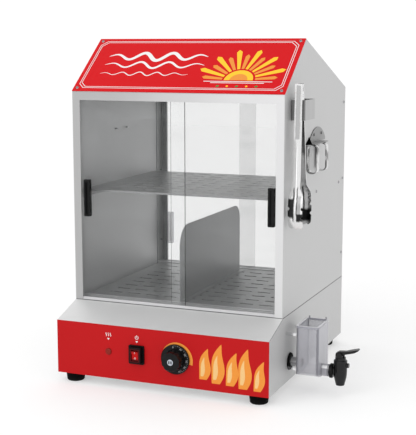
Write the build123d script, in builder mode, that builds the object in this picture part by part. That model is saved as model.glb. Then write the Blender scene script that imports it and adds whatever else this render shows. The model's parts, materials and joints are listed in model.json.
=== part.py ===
from build123d import *
from math import atan2, cos, hypot, radians, sin
import os

# Counter-top hot dog steamer: a base with a water pan, heater and controls, and over it a
# glazed cabinet with a gabled roof. Millimetres. While it is drawn, x runs to the right from
# the cabinet's middle, y runs back from the cabinet's front, and z runs up from the table.

# ---------------------------------------------------------------- driving sizes
sheet = 1.0                     # steel sheet of the casing
cabinet_w = 410.0
cabinet_d = 392.0
wall_h = 390.0                  # cabinet's side walls, deck to eave
ridge_rise = 94.0
ridge_y = 118.0
sign_t = 1.5

base_nose = 72.0                # how far the base stands out in front of the cabinet
base_h = 122.0
nose_h = 98.5                   # height of the red front panel

foot_h = 17.0
foot_r_top = 18.0
foot_r_bottom = 16.0
foot_inset_x = 25.0
foot_inset_front = 22.0
foot_inset_back = 34.0
foot_recess_r = 7.0
foot_recess_h = 10.0
foot_bevel = 1.5
foot_screw_r = 2.5
screw_clearance = 0.25

stile_w = 15.0
header_h = 16.0
track_d = 28.0
track_h = 6.0
glass_t = 4.0
groove_play = 0.75              # each side of a pane in its groove
outer_groove_y = 9.0            # middle of the outer groove, behind the cabinet's face
inner_groove_y = 19.0
groove_depth = 4.5
top_groove_depth = 11.0
pane_seat = 0.2
pane_lift = 5.5                 # room over a pane to lift it out
pane_behind_stile = 7.0
pane_overlap = 32.0
handle_w = 12.5
handle_h = 69.0
handle_t = 8.0
front_handle_from_stile = 5.5
rear_handle_from_stile = 1.0
front_handle_z = 332.5
rear_handle_z = 217.5
handle_cup_depth = 3.5
handle_wall = 4.0

shelf_z = 345.0                 # top of the bread shelf
shelf_lip = 3.5
shelf_play = 0.5
shelf_front_gap = 3.0           # between the door tracks and the shelf's rails
shelf_back_gap = 5.0
rail_w = 15.0
slot_l = 26.0
slot_w = 6.0
slot_pitch_x = 38.0
slot_pitch_y = 33.0
slot_margin = 20.0              # least plain edge round the slots

tray_side_gap = 8.0
tray_front_gap = 4.0
tray_back_gap = 5.0
tray_lip = 4.0

divider_x = -5.0
divider_back_gap = 18.0
divider_h = 140.5
divider_front_r = 38.0
divider_back_r = 28.0
divider_foot = 12.0
tab_l = 20.0
tab_h = 4.5
tab_play = 0.5
tab_rows = 2.5                  # slot rows from the middle to each tab, which lies between two

tank_side_gap = 31.0            # from the casing to the water pan
tank_y0 = 12.0
tank_back_gap = 30.0
tank_h = 100.0
tank_corner_r = 16.0
tank_floor_r = 4.0
tank_rim = 9.0
tank_hole_lap = 10.0            # how far the deck laps over the pan's wall

heater_r = 4.0
heater_z = 55.0
heater_bend_r = 25.0
heater_end_x = 20.0
heater_side_gap = 44.0          # from the pan's wall to the heater's middle line
heater_front_gap = 68.0
heater_back_gap = 42.0
heater_end_l = 9.0
gland_nut_r = 8.0
gland_nut_t = 5.0

control_z = 67.0                # lamp, switch and knob stand on one line
lamp_x = -100.0
lamp_r = 6.0
lamp_body_r = 4.5
lamp_dome_h = 2.5
lamp_body_l = 22.0

switch_x = -43.6
switch_w = 30.0
switch_h = 34.5
switch_flange_t = 3.0
shroud_w = 24.0
shroud_h = 30.0
shroud_t = 10.0
switch_body_w = 21.0
switch_body_h = 27.0
switch_body_d = 24.0
rocker_w = 13.4
rocker_h = 19.0
rocker_play = 0.3
rocker_pit = 6.0                # depth of the rocker's pit behind the panel's face
rocker_axis_out = 3.0           # the rocker's axle, in front of the panel's face
rocker_pin_r = 1.5
rocker_tilt = 8.0
rocker_out = 6.3                # its two ends, outwards from the axle
rocker_dip = 1.7
rocker_in = 3.5
running = 0.06                  # radial clearance of a shaft or pin that turns

knob_x = 32.0
skirt_r = 27.0
skirt_gap = 1.0
skirt_t = 5.0
hub_r_base = 19.0
hub_r_top = 17.0
hub_h = 24.0
hub_flutes = 10
flute_r = 4.0
flute_depth = 1.0
cap_r = 5.5
cap_recess = 1.0
shaft_r = 3.0
shaft_in_body = 14.0
shaft_in_knob = 16.0
thermostat_w = 42.0
thermostat_h = 38.0
thermostat_d = 34.0
bush_r = 4.8
blade_w = 6.3                   # its three terminals
blade_t = 0.8
blade_l = 9.0

probe_r = 3.0
probe_l = 80.0
probe_y = 60.0
capillary_side = 12.0           # capillary's outlet, beside and below the dial's axis
capillary_run = 18.0
capillary_end_l = 22.0
capillary_r = 1.0
capillary_bend_r = 5.0
capillary_bend_share = 0.45     # most of its drop that one bend may take

gland_inset = 75.0              # cable gland to the casing's right side
gland_z = 57.0
gland_thread_r = 8.0
gland_cable_r = 4.0
gland_flange_r = 12.0
gland_dome_l = 12.0
gland_inner_l = 9.0

terminal_w = 44.0
terminal_d = 18.0
terminal_h = 14.0
terminal_hole_r = 2.0
terminal_inset = 8.0            # from the casing's back, so that it stands behind the pan

tap_y = 42.5                    # inlet tube, outlet and tap stand in one plane
inlet_z = 51.5
inlet_r = 8.5
inlet_bore_r = 6.5
grommet_r = 16.0
grommet_neck_r = 12.5
grommet_flange_t = 2.5

box_gap = 20.0                  # between the wall and the water box
box_w = 41.0
box_y0 = 14.0
box_y1 = 82.0
box_bottom_z = 38.0
box_top_z = 125.0
box_belly = 7.0
box_wall = 3.0
box_edge_r = 5.0
box_nub_r = 1.4
box_nub_h = 4.0
peg_r = 3.0
peg_inset = 7.0
outlet_z = 42.7
outlet_r = 11.0
outlet_bore_r = 7.5
outlet_l = 14.0

collar_r = 12.5
collar_l = 6.5
neck_r = 7.5
neck_bore_r = 4.5
neck_l = 0.5                    # bare neck between the collar and the tap's body
spout_bottom_z = 18.5
spout_r = 7.5
spout_bore_r = 5.0
spout_bore_l = 18.0
tap_r = 12.0
tap_top_z = 64.0
tap_swell_h = 26.0              # height in which the spout grows to the body's width
bonnet_r = 9.5
bonnet_h = 5.0
valve_chamber_r = 7.5
valve_chamber_top_z = 57.0
stem_r = 2.0
valve_r = 6.5
valve_t = 5.0
vent_boss_r = 4.2
vent_boss_l = 15.5
vent_boss_z = 55.0
ear_gap = 10.6
ear_t = 3.0
ear_half_w = 5.5
ear_round_r = 4.5
lever_w = 10.0
lever_pin_r = 1.5
lever_reach = 33.0
lever_rise = 13.0
paddle_w = 14.0

bracket_y = 35.0                # the leg that the tongs hang on
bracket_far_y = 96.0
bracket_out = 25.0
bracket_t = 1.2
bracket_z0 = 483.5
bracket_z1 = 518.5
bracket_foot = 9.0
bracket_bend_r = 2.5

tongs_out = 15.0                # tongs' middle to the wall
tongs_pin_rise = 7.8            # pin over the bracket's leg
tongs_pin_r = 1.5
tongs_t = 0.8
tongs_half_w = 6.7
tongs_inner_half_w = 5.7
tongs_web = 7.0                 # web to the pin, when the arm hangs straight
tongs_above = 20.0
tongs_below = 231.0
tongs_flange = 3.0
tongs_ear = 3.0
pin_head_r = 2.6
pin_head_t = 0.8
spring_wire_r = 0.6
claw_l = 72.0
claw_half_w = 13.0
claw_corner = 7.0
claw_flare = 14.0
claw_bow = 4.0
claw_hook = 5.0
tooth_r = 2.0
tooth_pitch = 10.0
scallop_r = 3.0                 # bites in the claw's long edges
scallop_shares = (0.27, 0.5)    # their heights, as shares of the claw
left_spread = 2.6
right_spread = 7.8

hook_y0 = 145.0
hook_y1 = 244.0
hook_z0 = 435.0
hook_z1 = 462.0
hook_arch = 22.0
hook_ledge = 17.0
hook_ledge_y0 = 122.0           # the ledge starts in front of the arched plate
hook_ledge_y1 = 214.0
hook_t = 1.2
cheek_l = 13.0                  # upright cheek at the ledge's front end
cheek_h = 14.0
loop_w = 20.0
loop_h = 53.0
loop_t = 1.8
loop_strip = 14.0
loop_corner_r = 9.0
loop_gap = 0.3
loop_ys = (131.0, 190.0)
hook_screw_ys = (170.0, 217.0)
hook_screw_z = 449.0

screw_head_r = 3.0
screw_head_h = 1.6
screw_shank_r = 1.6
screw_shank_l = 5.0
rear_screw_inset = 12.0
rear_screw_heights = (52.5, 206.2, 360.5)    # over the deck
rail_screw_drop = 5.0
rail_screw_insets = (28.0, 6.0)              # from the rail's front and back ends
sign_screw_inset = 8.0

# ---------------------------------------------------------------- places worked out from them
half_w = cabinet_w / 2
inner_half_w = half_w - sheet
base_z = foot_h
nose_z = base_z + nose_h
deck_z = base_z + base_h
eave_z = deck_z + wall_h
ridge_z = eave_z + ridge_rise
panel_y = -base_nose                        # face of the red panel
panel_back_y = panel_y + sheet
back_y = cabinet_d
front_pitch = atan2(ridge_rise, ridge_y)
rear_pitch = atan2(ridge_rise, cabinet_d - ridge_y)
tank_z = deck_z - sheet                     # the pan's rim lies under the deck
tray_z = deck_z + tray_lip + sheet
rail_z = shelf_z - sheet
lintel_z = eave_z - header_h                # underside of the headers
gland_x = half_w - gland_inset
tongs_x = half_w + tongs_out
track_end_y = sheet + track_d               # the front track's back edge
rear_track_y = cabinet_d - track_end_y
rail_y0 = track_end_y + shelf_front_gap
rail_y1 = rear_track_y - shelf_back_gap
tray_w = 2 * (inner_half_w - tray_side_gap)
tray_y0 = track_end_y + tray_front_gap
tray_y1 = rear_track_y - tray_back_gap
divider_y0 = tray_y0
divider_y1 = rear_track_y - divider_back_gap
tank_w = cabinet_w - 2 * tank_side_gap
tank_y1 = cabinet_d - tank_back_gap
heater_half_w = tank_w / 2 - heater_side_gap
heater_front_y = tank_y0 + heater_front_gap
heater_back_y = tank_y1 - heater_back_gap
rear_screw_y = cabinet_d - rear_screw_inset
rear_screw_zs = [deck_z + height for height in rear_screw_heights]
rail_screw_ys = (rail_y0 + rail_screw_insets[0], (rail_y0 + rail_y1) / 2, rail_y1 - rail_screw_insets[1])
rail_screw_z = shelf_z - rail_screw_drop
box_x0 = half_w + box_gap
box_x1 = box_x0 + box_w
collar_x = box_x1 + outlet_l
neck_x = collar_x + collar_l
tap_x = neck_x + neck_l + tap_r
lever_pin_z = tap_top_z + bonnet_h + ear_round_r
lever_tip_x = tap_x + lever_reach
lever_tip_z = lever_pin_z + lever_rise
tongs_pin_z = bracket_z1 + tongs_pin_rise

pieces = []


def keep(piece, name):
    """Name a finished piece and put it on the list of pieces."""
    piece.part.label = name
    pieces.append(piece)


def upright(y):
    """Sketch plane across the object at depth y: its x is x, its y is z, it faces the front."""
    return Plane.XZ.offset(-y)


def sideways(x):
    """Sketch plane along the object at x: its x is y, its y is z, it faces right."""
    return Plane.YZ.offset(x)


def level(z):
    """Sketch plane at height z, facing up."""
    return Plane.XY.offset(z)


def block(x, y, z, mode=Mode.ADD):
    """A straight-sided block between the given ends on each axis."""
    middle = ((x[0] + x[1]) / 2, (y[0] + y[1]) / 2, (z[0] + z[1]) / 2)
    with Locations(middle):
        Box(x[1] - x[0], y[1] - y[0], z[1] - z[0], mode=mode)


# ---------------------------------------------------------------- base
foot_xs = (-half_w + foot_inset_x, half_w - foot_inset_x)
foot_ys = (panel_y + foot_inset_front, back_y - foot_inset_back)
foot_points = [(x, y) for x in foot_xs for y in foot_ys]
tank_cy = (tank_y0 + tank_y1) / 2
tank_d = tank_y1 - tank_y0

with BuildPart() as base_shell:
    with BuildSketch(sideways(-half_w)):
        with BuildLine():
            Polyline((panel_back_y, base_z), (panel_back_y, nose_z), (0, deck_z), (back_y, deck_z),
                     (back_y, base_z), close=True)
        make_face()
    extrude(amount=cabinet_w)
    floor_face = base_shell.faces().sort_by(Axis.Z)[0]
    nose_face = base_shell.faces().filter_by(Axis.Y).sort_by(Axis.Y)[0]
    offset(amount=-sheet, openings=[floor_face, nose_face])
    # opening over the water pan
    with BuildSketch(level(deck_z)):
        with Locations((0, tank_cy)):
            RectangleRounded(tank_w - 2 * tank_hole_lap, tank_d - 2 * tank_hole_lap, tank_corner_r)
    extrude(amount=-2 * sheet, mode=Mode.SUBTRACT)
    # hole for the inlet tube's grommet, and for the cable gland
    with BuildSketch(sideways(half_w)):
        with Locations((tap_y, inlet_z)):
            Circle(grommet_neck_r)
    extrude(amount=-2 * sheet, mode=Mode.SUBTRACT)
    with BuildSketch(upright(back_y)):
        with Locations((gland_x, gland_z)):
            Circle(gland_thread_r)
    extrude(amount=2 * sheet, mode=Mode.SUBTRACT)
keep(base_shell, "base_shell")

lip_h = 12.0
lip_setback = 22.0              # the plate's side lips start behind the front panel's returns
lip_front_y = panel_y + lip_setback
vent_l = 34.0
vent_w = 4.0
vent_pitch_x = 48.0
vent_pitch_y = 12.0
with BuildPart() as base_plate:
    block((-inner_half_w, inner_half_w), (panel_back_y, back_y - sheet), (base_z, base_z + sheet))
    for side in (-1, 1):
        edge = (side * inner_half_w, side * (inner_half_w - sheet))
        block((min(edge), max(edge)), (lip_front_y, back_y - sheet), (base_z, base_z + lip_h))
    block((-inner_half_w, inner_half_w), (back_y - 2 * sheet, back_y - sheet), (base_z, base_z + lip_h))
    with BuildSketch(level(base_z)):
        with Locations(*foot_points):
            Circle(foot_screw_r + screw_clearance)
        with Locations((0, panel_y / 2)):
            with GridLocations(vent_pitch_x, vent_pitch_y, 5, 3):
                SlotOverall(vent_l, vent_w)
    extrude(amount=sheet, mode=Mode.SUBTRACT)
keep(base_plate, "base_plate")

panel_return = 14.0
with BuildPart() as front_panel:
    block((-half_w, half_w), (panel_y, panel_back_y), (base_z, nose_z))
    for side in (-1, 1):
        edge = (side * inner_half_w, side * (inner_half_w - sheet))
        block((min(edge), max(edge)), (panel_back_y, panel_y + panel_return),
              (base_z + lip_h + 2, nose_z - sheet))
    with BuildSketch(upright(panel_y)):
        with Locations((lamp_x, control_z)):
            Circle(lamp_body_r)
        with Locations((switch_x, control_z)):
            Rectangle(switch_body_w, switch_body_h)
        with Locations((knob_x, control_z)):
            Circle(bush_r)
    extrude(amount=-sheet, mode=Mode.SUBTRACT)
keep(front_panel, "front_panel")

with BuildPart() as rubber_feet:
    with BuildSketch(Plane.XZ) as foot_profile:
        with BuildLine():
            Polyline((foot_recess_r, 0), (foot_r_bottom - foot_bevel, 0), (foot_r_bottom, foot_bevel),
                     (foot_r_top, foot_h),
                     (foot_screw_r + screw_clearance, foot_h),
                     (foot_screw_r + screw_clearance, foot_recess_h), (foot_recess_r, foot_recess_h),
                     close=True)
        make_face()
    foot = revolve(foot_profile.sketch, axis=Axis.Z, mode=Mode.PRIVATE)
    for x, y in foot_points:
        add(foot.moved(Location((x, y, 0))))
keep(rubber_feet, "rubber_feet")

foot_head_h = 3.5
foot_head_r = 4.8
foot_nut_r = 4.6
foot_nut_h = 4.0
with BuildPart() as foot_screws:
    for x, y in foot_points:
        with Locations((x, y, foot_recess_h - foot_head_h)):
            Cylinder(foot_head_r, foot_head_h, align=(Align.CENTER, Align.CENTER, Align.MIN))
            Cylinder(foot_screw_r, base_z + sheet + foot_nut_h + 1 - foot_recess_h + foot_head_h,
                     align=(Align.CENTER, Align.CENTER, Align.MIN))
        with BuildSketch(level(base_z + sheet)):
            with Locations((x, y)):
                RegularPolygon(foot_nut_r, 6)
        extrude(amount=foot_nut_h)
keep(foot_screws, "foot_screws")

# ---------------------------------------------------------------- water pan and heater
tank_floor_z = tank_z - tank_h
with BuildPart() as water_tank:
    with BuildSketch(level(tank_z)):
        with Locations((0, tank_cy)):
            RectangleRounded(tank_w, tank_d, tank_corner_r)
    extrude(amount=-tank_h)
    fillet(water_tank.faces().sort_by(Axis.Z)[0].edges(), radius=tank_floor_r)
    offset(amount=-sheet, openings=water_tank.faces().sort_by(Axis.Z)[-1])
    with BuildSketch(level(tank_z)):
        with Locations((0, tank_cy)):
            RectangleRounded(tank_w + 2 * tank_rim, tank_d + 2 * tank_rim, tank_corner_r + tank_rim)
            RectangleRounded(tank_w - 2 * sheet, tank_d - 2 * sheet, tank_corner_r - sheet,
                             mode=Mode.SUBTRACT)
    extrude(amount=-sheet)
    with BuildSketch(sideways(tank_w / 2)):
        with Locations((tap_y, inlet_z)):
            Circle(inlet_r)
    extrude(amount=-2 * sheet, mode=Mode.SUBTRACT)
    with BuildSketch(upright(tank_y0)):
        with Locations((-heater_end_x, heater_z), (heater_end_x, heater_z)):
            Circle(heater_r)
    extrude(amount=-2 * sheet, mode=Mode.SUBTRACT)
keep(water_tank, "water_tank")

heater_start_y = tank_y0 - gland_nut_t - heater_end_l
with BuildPart() as heating_element:
    with BuildLine() as heater_line:
        half_route = [(heater_end_x, heater_start_y), (heater_end_x, heater_front_y),
                      (heater_half_w, heater_front_y), (heater_half_w, heater_back_y)]
        route = [(-x, y, heater_z) for x, y in half_route]
        route += [(x, y, heater_z) for x, y in reversed(half_route)]
        FilletPolyline(*route, radius=heater_bend_r)
    with BuildSketch(Plane(origin=heater_line.line @ 0, z_dir=heater_line.line % 0)):
        Circle(heater_r)
    sweep()
keep(heating_element, "heating_element")

with BuildPart() as element_glands:
    for x in (-heater_end_x, heater_end_x):
        with BuildSketch(upright(tank_y0)):
            with Locations((x, heater_z)):
                RegularPolygon(gland_nut_r, 6)
                Circle(heater_r, mode=Mode.SUBTRACT)
        extrude(amount=gland_nut_t)
keep(element_glands, "element_glands")

# ---------------------------------------------------------------- controls on the red panel
lamp_face = Plane(origin=(lamp_x, panel_y, control_z), x_dir=(1, 0, 0), z_dir=(0, -1, 0))
with BuildPart() as indicator_lamp:
    with BuildSketch(lamp_face):
        Circle(lamp_r)
    extrude(amount=lamp_dome_h)
    fillet(indicator_lamp.edges().sort_by(Axis.Y)[0], radius=lamp_dome_h - 0.4)
    with BuildSketch(lamp_face):
        Circle(lamp_body_r)
    extrude(amount=-lamp_body_l)
keep(indicator_lamp, "indicator_lamp")

switch_face = Plane(origin=(switch_x, panel_y, control_z), x_dir=(1, 0, 0), z_dir=(0, -1, 0))
pit_w = rocker_w + 2 * rocker_play
pit_h = rocker_h + 4 * rocker_play
with BuildPart() as switch_housing:
    with BuildSketch(switch_face):
        RectangleRounded(switch_w, switch_h, 2.5)
    extrude(amount=switch_flange_t)
    with BuildSketch(switch_face.offset(switch_flange_t)):
        RectangleRounded(shroud_w, shroud_h, 2)
    extrude(amount=shroud_t - switch_flange_t, taper=4)
    fillet(switch_housing.faces().sort_by(Axis.Y)[0].outer_wire().edges(), radius=1)
    with BuildSketch(switch_face):
        Rectangle(switch_body_w, switch_body_h)
    extrude(amount=-switch_body_d)
    with BuildSketch(switch_face.offset(-rocker_pit)):
        Rectangle(pit_w, pit_h)
    extrude(amount=rocker_pit + shroud_t + 1, mode=Mode.SUBTRACT)
    with BuildSketch(Plane.YZ.offset(switch_x - pit_w / 2 - 2)):
        with Locations((panel_y - rocker_axis_out, control_z)):
            Circle(rocker_pin_r + running)
    extrude(amount=pit_w + 4, mode=Mode.SUBTRACT)
keep(switch_housing, "switch_housing")

# rocker's side outline, from its axle: outwards is along -y
rocker_plane = Plane(origin=(switch_x, panel_y - rocker_axis_out, control_z),
                     x_dir=(0, cos(radians(rocker_tilt)), sin(radians(rocker_tilt))), z_dir=(1, 0, 0))
with BuildPart() as switch_rocker:
    with BuildSketch(rocker_plane.offset(-rocker_w / 2)):
        with BuildLine():
            Polyline((-rocker_out, rocker_h / 2 - 0.3), (-rocker_out + rocker_dip, 0),
                     (-rocker_out, -rocker_h / 2 + 0.3), (rocker_in, -rocker_h / 2 + 2),
                     (rocker_in, rocker_h / 2 - 2), close=True)
        make_face()
    extrude(amount=rocker_w)
    with BuildSketch(rocker_plane.offset(-pit_w / 2 - 1.5)):
        Circle(rocker_pin_r)
    extrude(amount=pit_w + 3)
keep(switch_rocker, "switch_rocker")

dial_face = Plane(origin=(knob_x, panel_y, control_z), x_dir=(1, 0, 0), z_dir=(0, -1, 0))
with BuildPart() as thermostat_body:
    with BuildSketch(dial_face.offset(-sheet)):
        RectangleRounded(thermostat_w, thermostat_h, 3)
    extrude(amount=-thermostat_d)
    with BuildSketch(dial_face.offset(-sheet)):
        Circle(bush_r)
    extrude(amount=sheet + skirt_gap / 2)
    with BuildSketch(dial_face.offset(skirt_gap)):
        Circle(shaft_r + running)
    extrude(amount=-shaft_in_body - skirt_gap - 0.5, mode=Mode.SUBTRACT)
    with BuildSketch(dial_face.offset(-sheet - thermostat_d)):
        with Locations((0, thermostat_h / 4)):
            with GridLocations(thermostat_w / 4, 0, 3, 1):
                Rectangle(blade_w, blade_t)
    extrude(amount=-blade_l)
keep(thermostat_body, "thermostat_body")

with BuildPart() as thermostat_shaft:
    with BuildSketch(dial_face.offset(-shaft_in_body)):
        Circle(shaft_r)
    extrude(amount=shaft_in_body + skirt_gap)
    with BuildSketch(dial_face.offset(skirt_gap)):
        Circle(shaft_r)
        with Locations((0, shaft_r)):
            Rectangle(3 * shaft_r, 1.5, mode=Mode.SUBTRACT)
    extrude(amount=shaft_in_knob)
keep(thermostat_shaft, "thermostat_shaft")

with BuildPart() as thermostat_knob:
    with BuildSketch(dial_face.offset(skirt_gap)):
        Circle(skirt_r)
    extrude(amount=skirt_t - skirt_gap)
    chamfer(thermostat_knob.edges().sort_by(Axis.Y)[0], length=1.5)
    with BuildSketch(dial_face.offset(skirt_t)):
        Circle(hub_r_base)
        with PolarLocations(hub_r_base + flute_r - flute_depth, hub_flutes):
            Circle(flute_r, mode=Mode.SUBTRACT)
    with BuildSketch(dial_face.offset(hub_h)):
        Circle(hub_r_top)
        with PolarLocations(hub_r_top + flute_r - flute_depth, hub_flutes):
            Circle(flute_r, mode=Mode.SUBTRACT)
    loft()
    chamfer(thermostat_knob.faces().sort_by(Axis.Y)[0].edges(), length=0.8)
    with BuildSketch(dial_face.offset(hub_h)):
        Circle(cap_r)
    extrude(amount=-cap_recess, mode=Mode.SUBTRACT)
    with BuildSketch(dial_face):
        Circle(shaft_r)
        with Locations((0, shaft_r)):
            Rectangle(3 * shaft_r, 1.5, mode=Mode.SUBTRACT)
    extrude(amount=skirt_gap + shaft_in_knob, mode=Mode.SUBTRACT)
keep(thermostat_knob, "thermostat_knob")

with BuildPart() as knob_cap:
    with BuildSketch(dial_face.offset(hub_h - cap_recess)):
        Circle(cap_r)
    extrude(amount=cap_recess + 0.6)
    fillet(knob_cap.edges().sort_by(Axis.Y)[0], radius=0.5)
keep(knob_cap, "knob_cap")

# the bulb lies under the pan, and its capillary runs forward to the thermostat
bulb_z = tank_floor_z - probe_r
capillary_x = knob_x + capillary_side
capillary_y0 = panel_back_y + thermostat_d
capillary_z = control_z - capillary_side
with BuildPart() as thermostat_probe:
    capillary_r_in_drop = capillary_bend_share * (capillary_z - bulb_z)
    with BuildLine() as capillary_line:
        capillary_y1 = capillary_y0 + capillary_run
        FilletPolyline((capillary_x, capillary_y0, capillary_z), (capillary_x, capillary_y1, capillary_z),
                       (capillary_x, capillary_y1, bulb_z), (capillary_x, probe_y, bulb_z),
                       (capillary_x + capillary_end_l, probe_y, bulb_z),
                       radius=min(capillary_bend_r, capillary_r_in_drop))
    with BuildSketch(Plane(origin=capillary_line.line @ 0, z_dir=capillary_line.line % 0)):
        Circle(capillary_r)
    sweep()
    with BuildSketch(sideways(capillary_x + capillary_end_l - capillary_r)):
        with Locations((probe_y, bulb_z)):
            Circle(probe_r)
    extrude(amount=probe_l)
    fillet(thermostat_probe.faces().sort_by(Axis.X)[-1].edges(), radius=probe_r / 2)
keep(thermostat_probe, "thermostat_probe")

terminal_x = gland_x - 2 * terminal_w
terminal_y = back_y - terminal_inset
terminal_top_z = base_z + sheet + terminal_h
with BuildPart() as terminal_block:
    block((terminal_x, terminal_x + terminal_w), (terminal_y - terminal_d, terminal_y),
          (base_z + sheet, terminal_top_z))
    with BuildSketch(level(terminal_top_z)):
        with Locations((terminal_x + terminal_w / 2, terminal_y - terminal_d / 2)):
            with GridLocations(terminal_w / 3.5, terminal_d / 2, 3, 2):
                Circle(terminal_hole_r)
    extrude(amount=-terminal_h / 3, mode=Mode.SUBTRACT)
keep(terminal_block, "terminal_block")

gland_plane = Plane(origin=(gland_x, back_y, gland_z), x_dir=(1, 0, 0), z_dir=(0, 1, 0))
with BuildPart() as cable_gland:
    with BuildSketch(gland_plane):
        RegularPolygon(gland_flange_r, 6)
    extrude(amount=5)
    with BuildSketch(gland_plane.offset(5)):
        Circle(gland_flange_r - 2.2)
    extrude(amount=gland_dome_l - 5, taper=8)
    with BuildSketch(gland_plane.offset(-gland_inner_l)):
        Circle(gland_thread_r)
    extrude(amount=gland_inner_l)
    with BuildSketch(gland_plane.offset(-sheet)):
        RegularPolygon(gland_flange_r - 1, 6)
    extrude(amount=-4)
    with BuildSketch(gland_plane.offset(gland_dome_l + 1)):
        Circle(gland_cable_r)
    extrude(amount=-gland_dome_l - gland_inner_l - 2, mode=Mode.SUBTRACT)
keep(cable_gland, "cable_gland")

# ---------------------------------------------------------------- water box and drain tap
with BuildPart() as wall_grommet:
    with BuildSketch(sideways(half_w)):
        with Locations((tap_y, inlet_z)):
            Circle(grommet_r)
    extrude(amount=grommet_flange_t, taper=20)
    with BuildSketch(sideways(half_w - sheet)):
        with Locations((tap_y, inlet_z)):
            Circle(grommet_neck_r)
    extrude(amount=sheet)
    with BuildSketch(sideways(half_w - sheet)):
        with Locations((tap_y, inlet_z)):
            Circle(grommet_r - 1)
    extrude(amount=-2)
    with BuildSketch(sideways(half_w + 2 * grommet_flange_t)):
        with Locations((tap_y, inlet_z)):
            Circle(inlet_r)
    extrude(amount=-4 * grommet_flange_t, mode=Mode.SUBTRACT)
keep(wall_grommet, "wall_grommet")

with BuildPart() as inlet_tube:
    with BuildSketch(sideways(tank_w / 2 - sheet - 3)):
        with Locations((tap_y, inlet_z)):
            Circle(inlet_r)
            Circle(inlet_bore_r, mode=Mode.SUBTRACT)
    extrude(amount=box_x0 + box_wall + 1 - tank_w / 2 + sheet + 3)
keep(inlet_tube, "inlet_tube")

box_my = (box_y0 + box_y1) / 2
with BuildPart() as level_box:
    with BuildSketch(sideways(box_x0)):
        with BuildLine():
            Polyline((box_y0, box_bottom_z), (box_y0, box_top_z), (box_y1, box_top_z),
                     (box_y1, box_bottom_z))
            ThreePointArc((box_y1, box_bottom_z), (box_my, box_bottom_z - box_belly),
                          (box_y0, box_bottom_z))
        make_face()
    extrude(amount=box_w)
    fillet(level_box.edges().filter_by(Axis.Z), radius=box_edge_r)
    offset(amount=-box_wall, openings=level_box.faces().sort_by(Axis.Z)[-1])
    with BuildSketch(sideways(box_x1 - box_wall)):
        with Locations((tap_y, outlet_z)):
            Circle(outlet_r)
    extrude(amount=box_wall + outlet_l)
    with BuildSketch(sideways(box_x1 - 2 * box_wall)):
        with Locations((tap_y, outlet_z)):
            Circle(outlet_bore_r)
    extrude(amount=2 * box_wall + outlet_l, mode=Mode.SUBTRACT)
    with BuildSketch(sideways(box_x0)):
        with Locations((tap_y, inlet_z)):
            Circle(inlet_r)
    extrude(amount=box_wall + 1, mode=Mode.SUBTRACT)
    for x in (box_x0 + box_edge_r, box_x1 - box_edge_r):
        with Locations((x, box_y1 - box_wall / 2, box_top_z)):
            Cylinder(box_nub_r, box_nub_h, align=(Align.CENTER, Align.CENTER, Align.MIN))
keep(level_box, "level_box")

with BuildPart() as level_box_pegs:
    with BuildSketch(sideways(half_w)):
        for y in (box_y0 + peg_inset, box_y1 - peg_inset):
            with Locations((y, box_bottom_z + peg_inset), (y, box_top_z - 2.5 * peg_inset)):
                Circle(peg_r)
    extrude(amount=box_gap)
keep(level_box_pegs, "level_box_pegs")

with BuildPart() as tap_collar:
    with BuildSketch(sideways(collar_x)):
        with Locations((tap_y, outlet_z)):
            Circle(collar_r)
            Circle(neck_bore_r, mode=Mode.SUBTRACT)
    extrude(amount=collar_l)
    chamfer(tap_collar.edges().filter_by(GeomType.CIRCLE).sort_by(SortBy.RADIUS)[-2:], length=1)
keep(tap_collar, "tap_collar")

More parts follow.
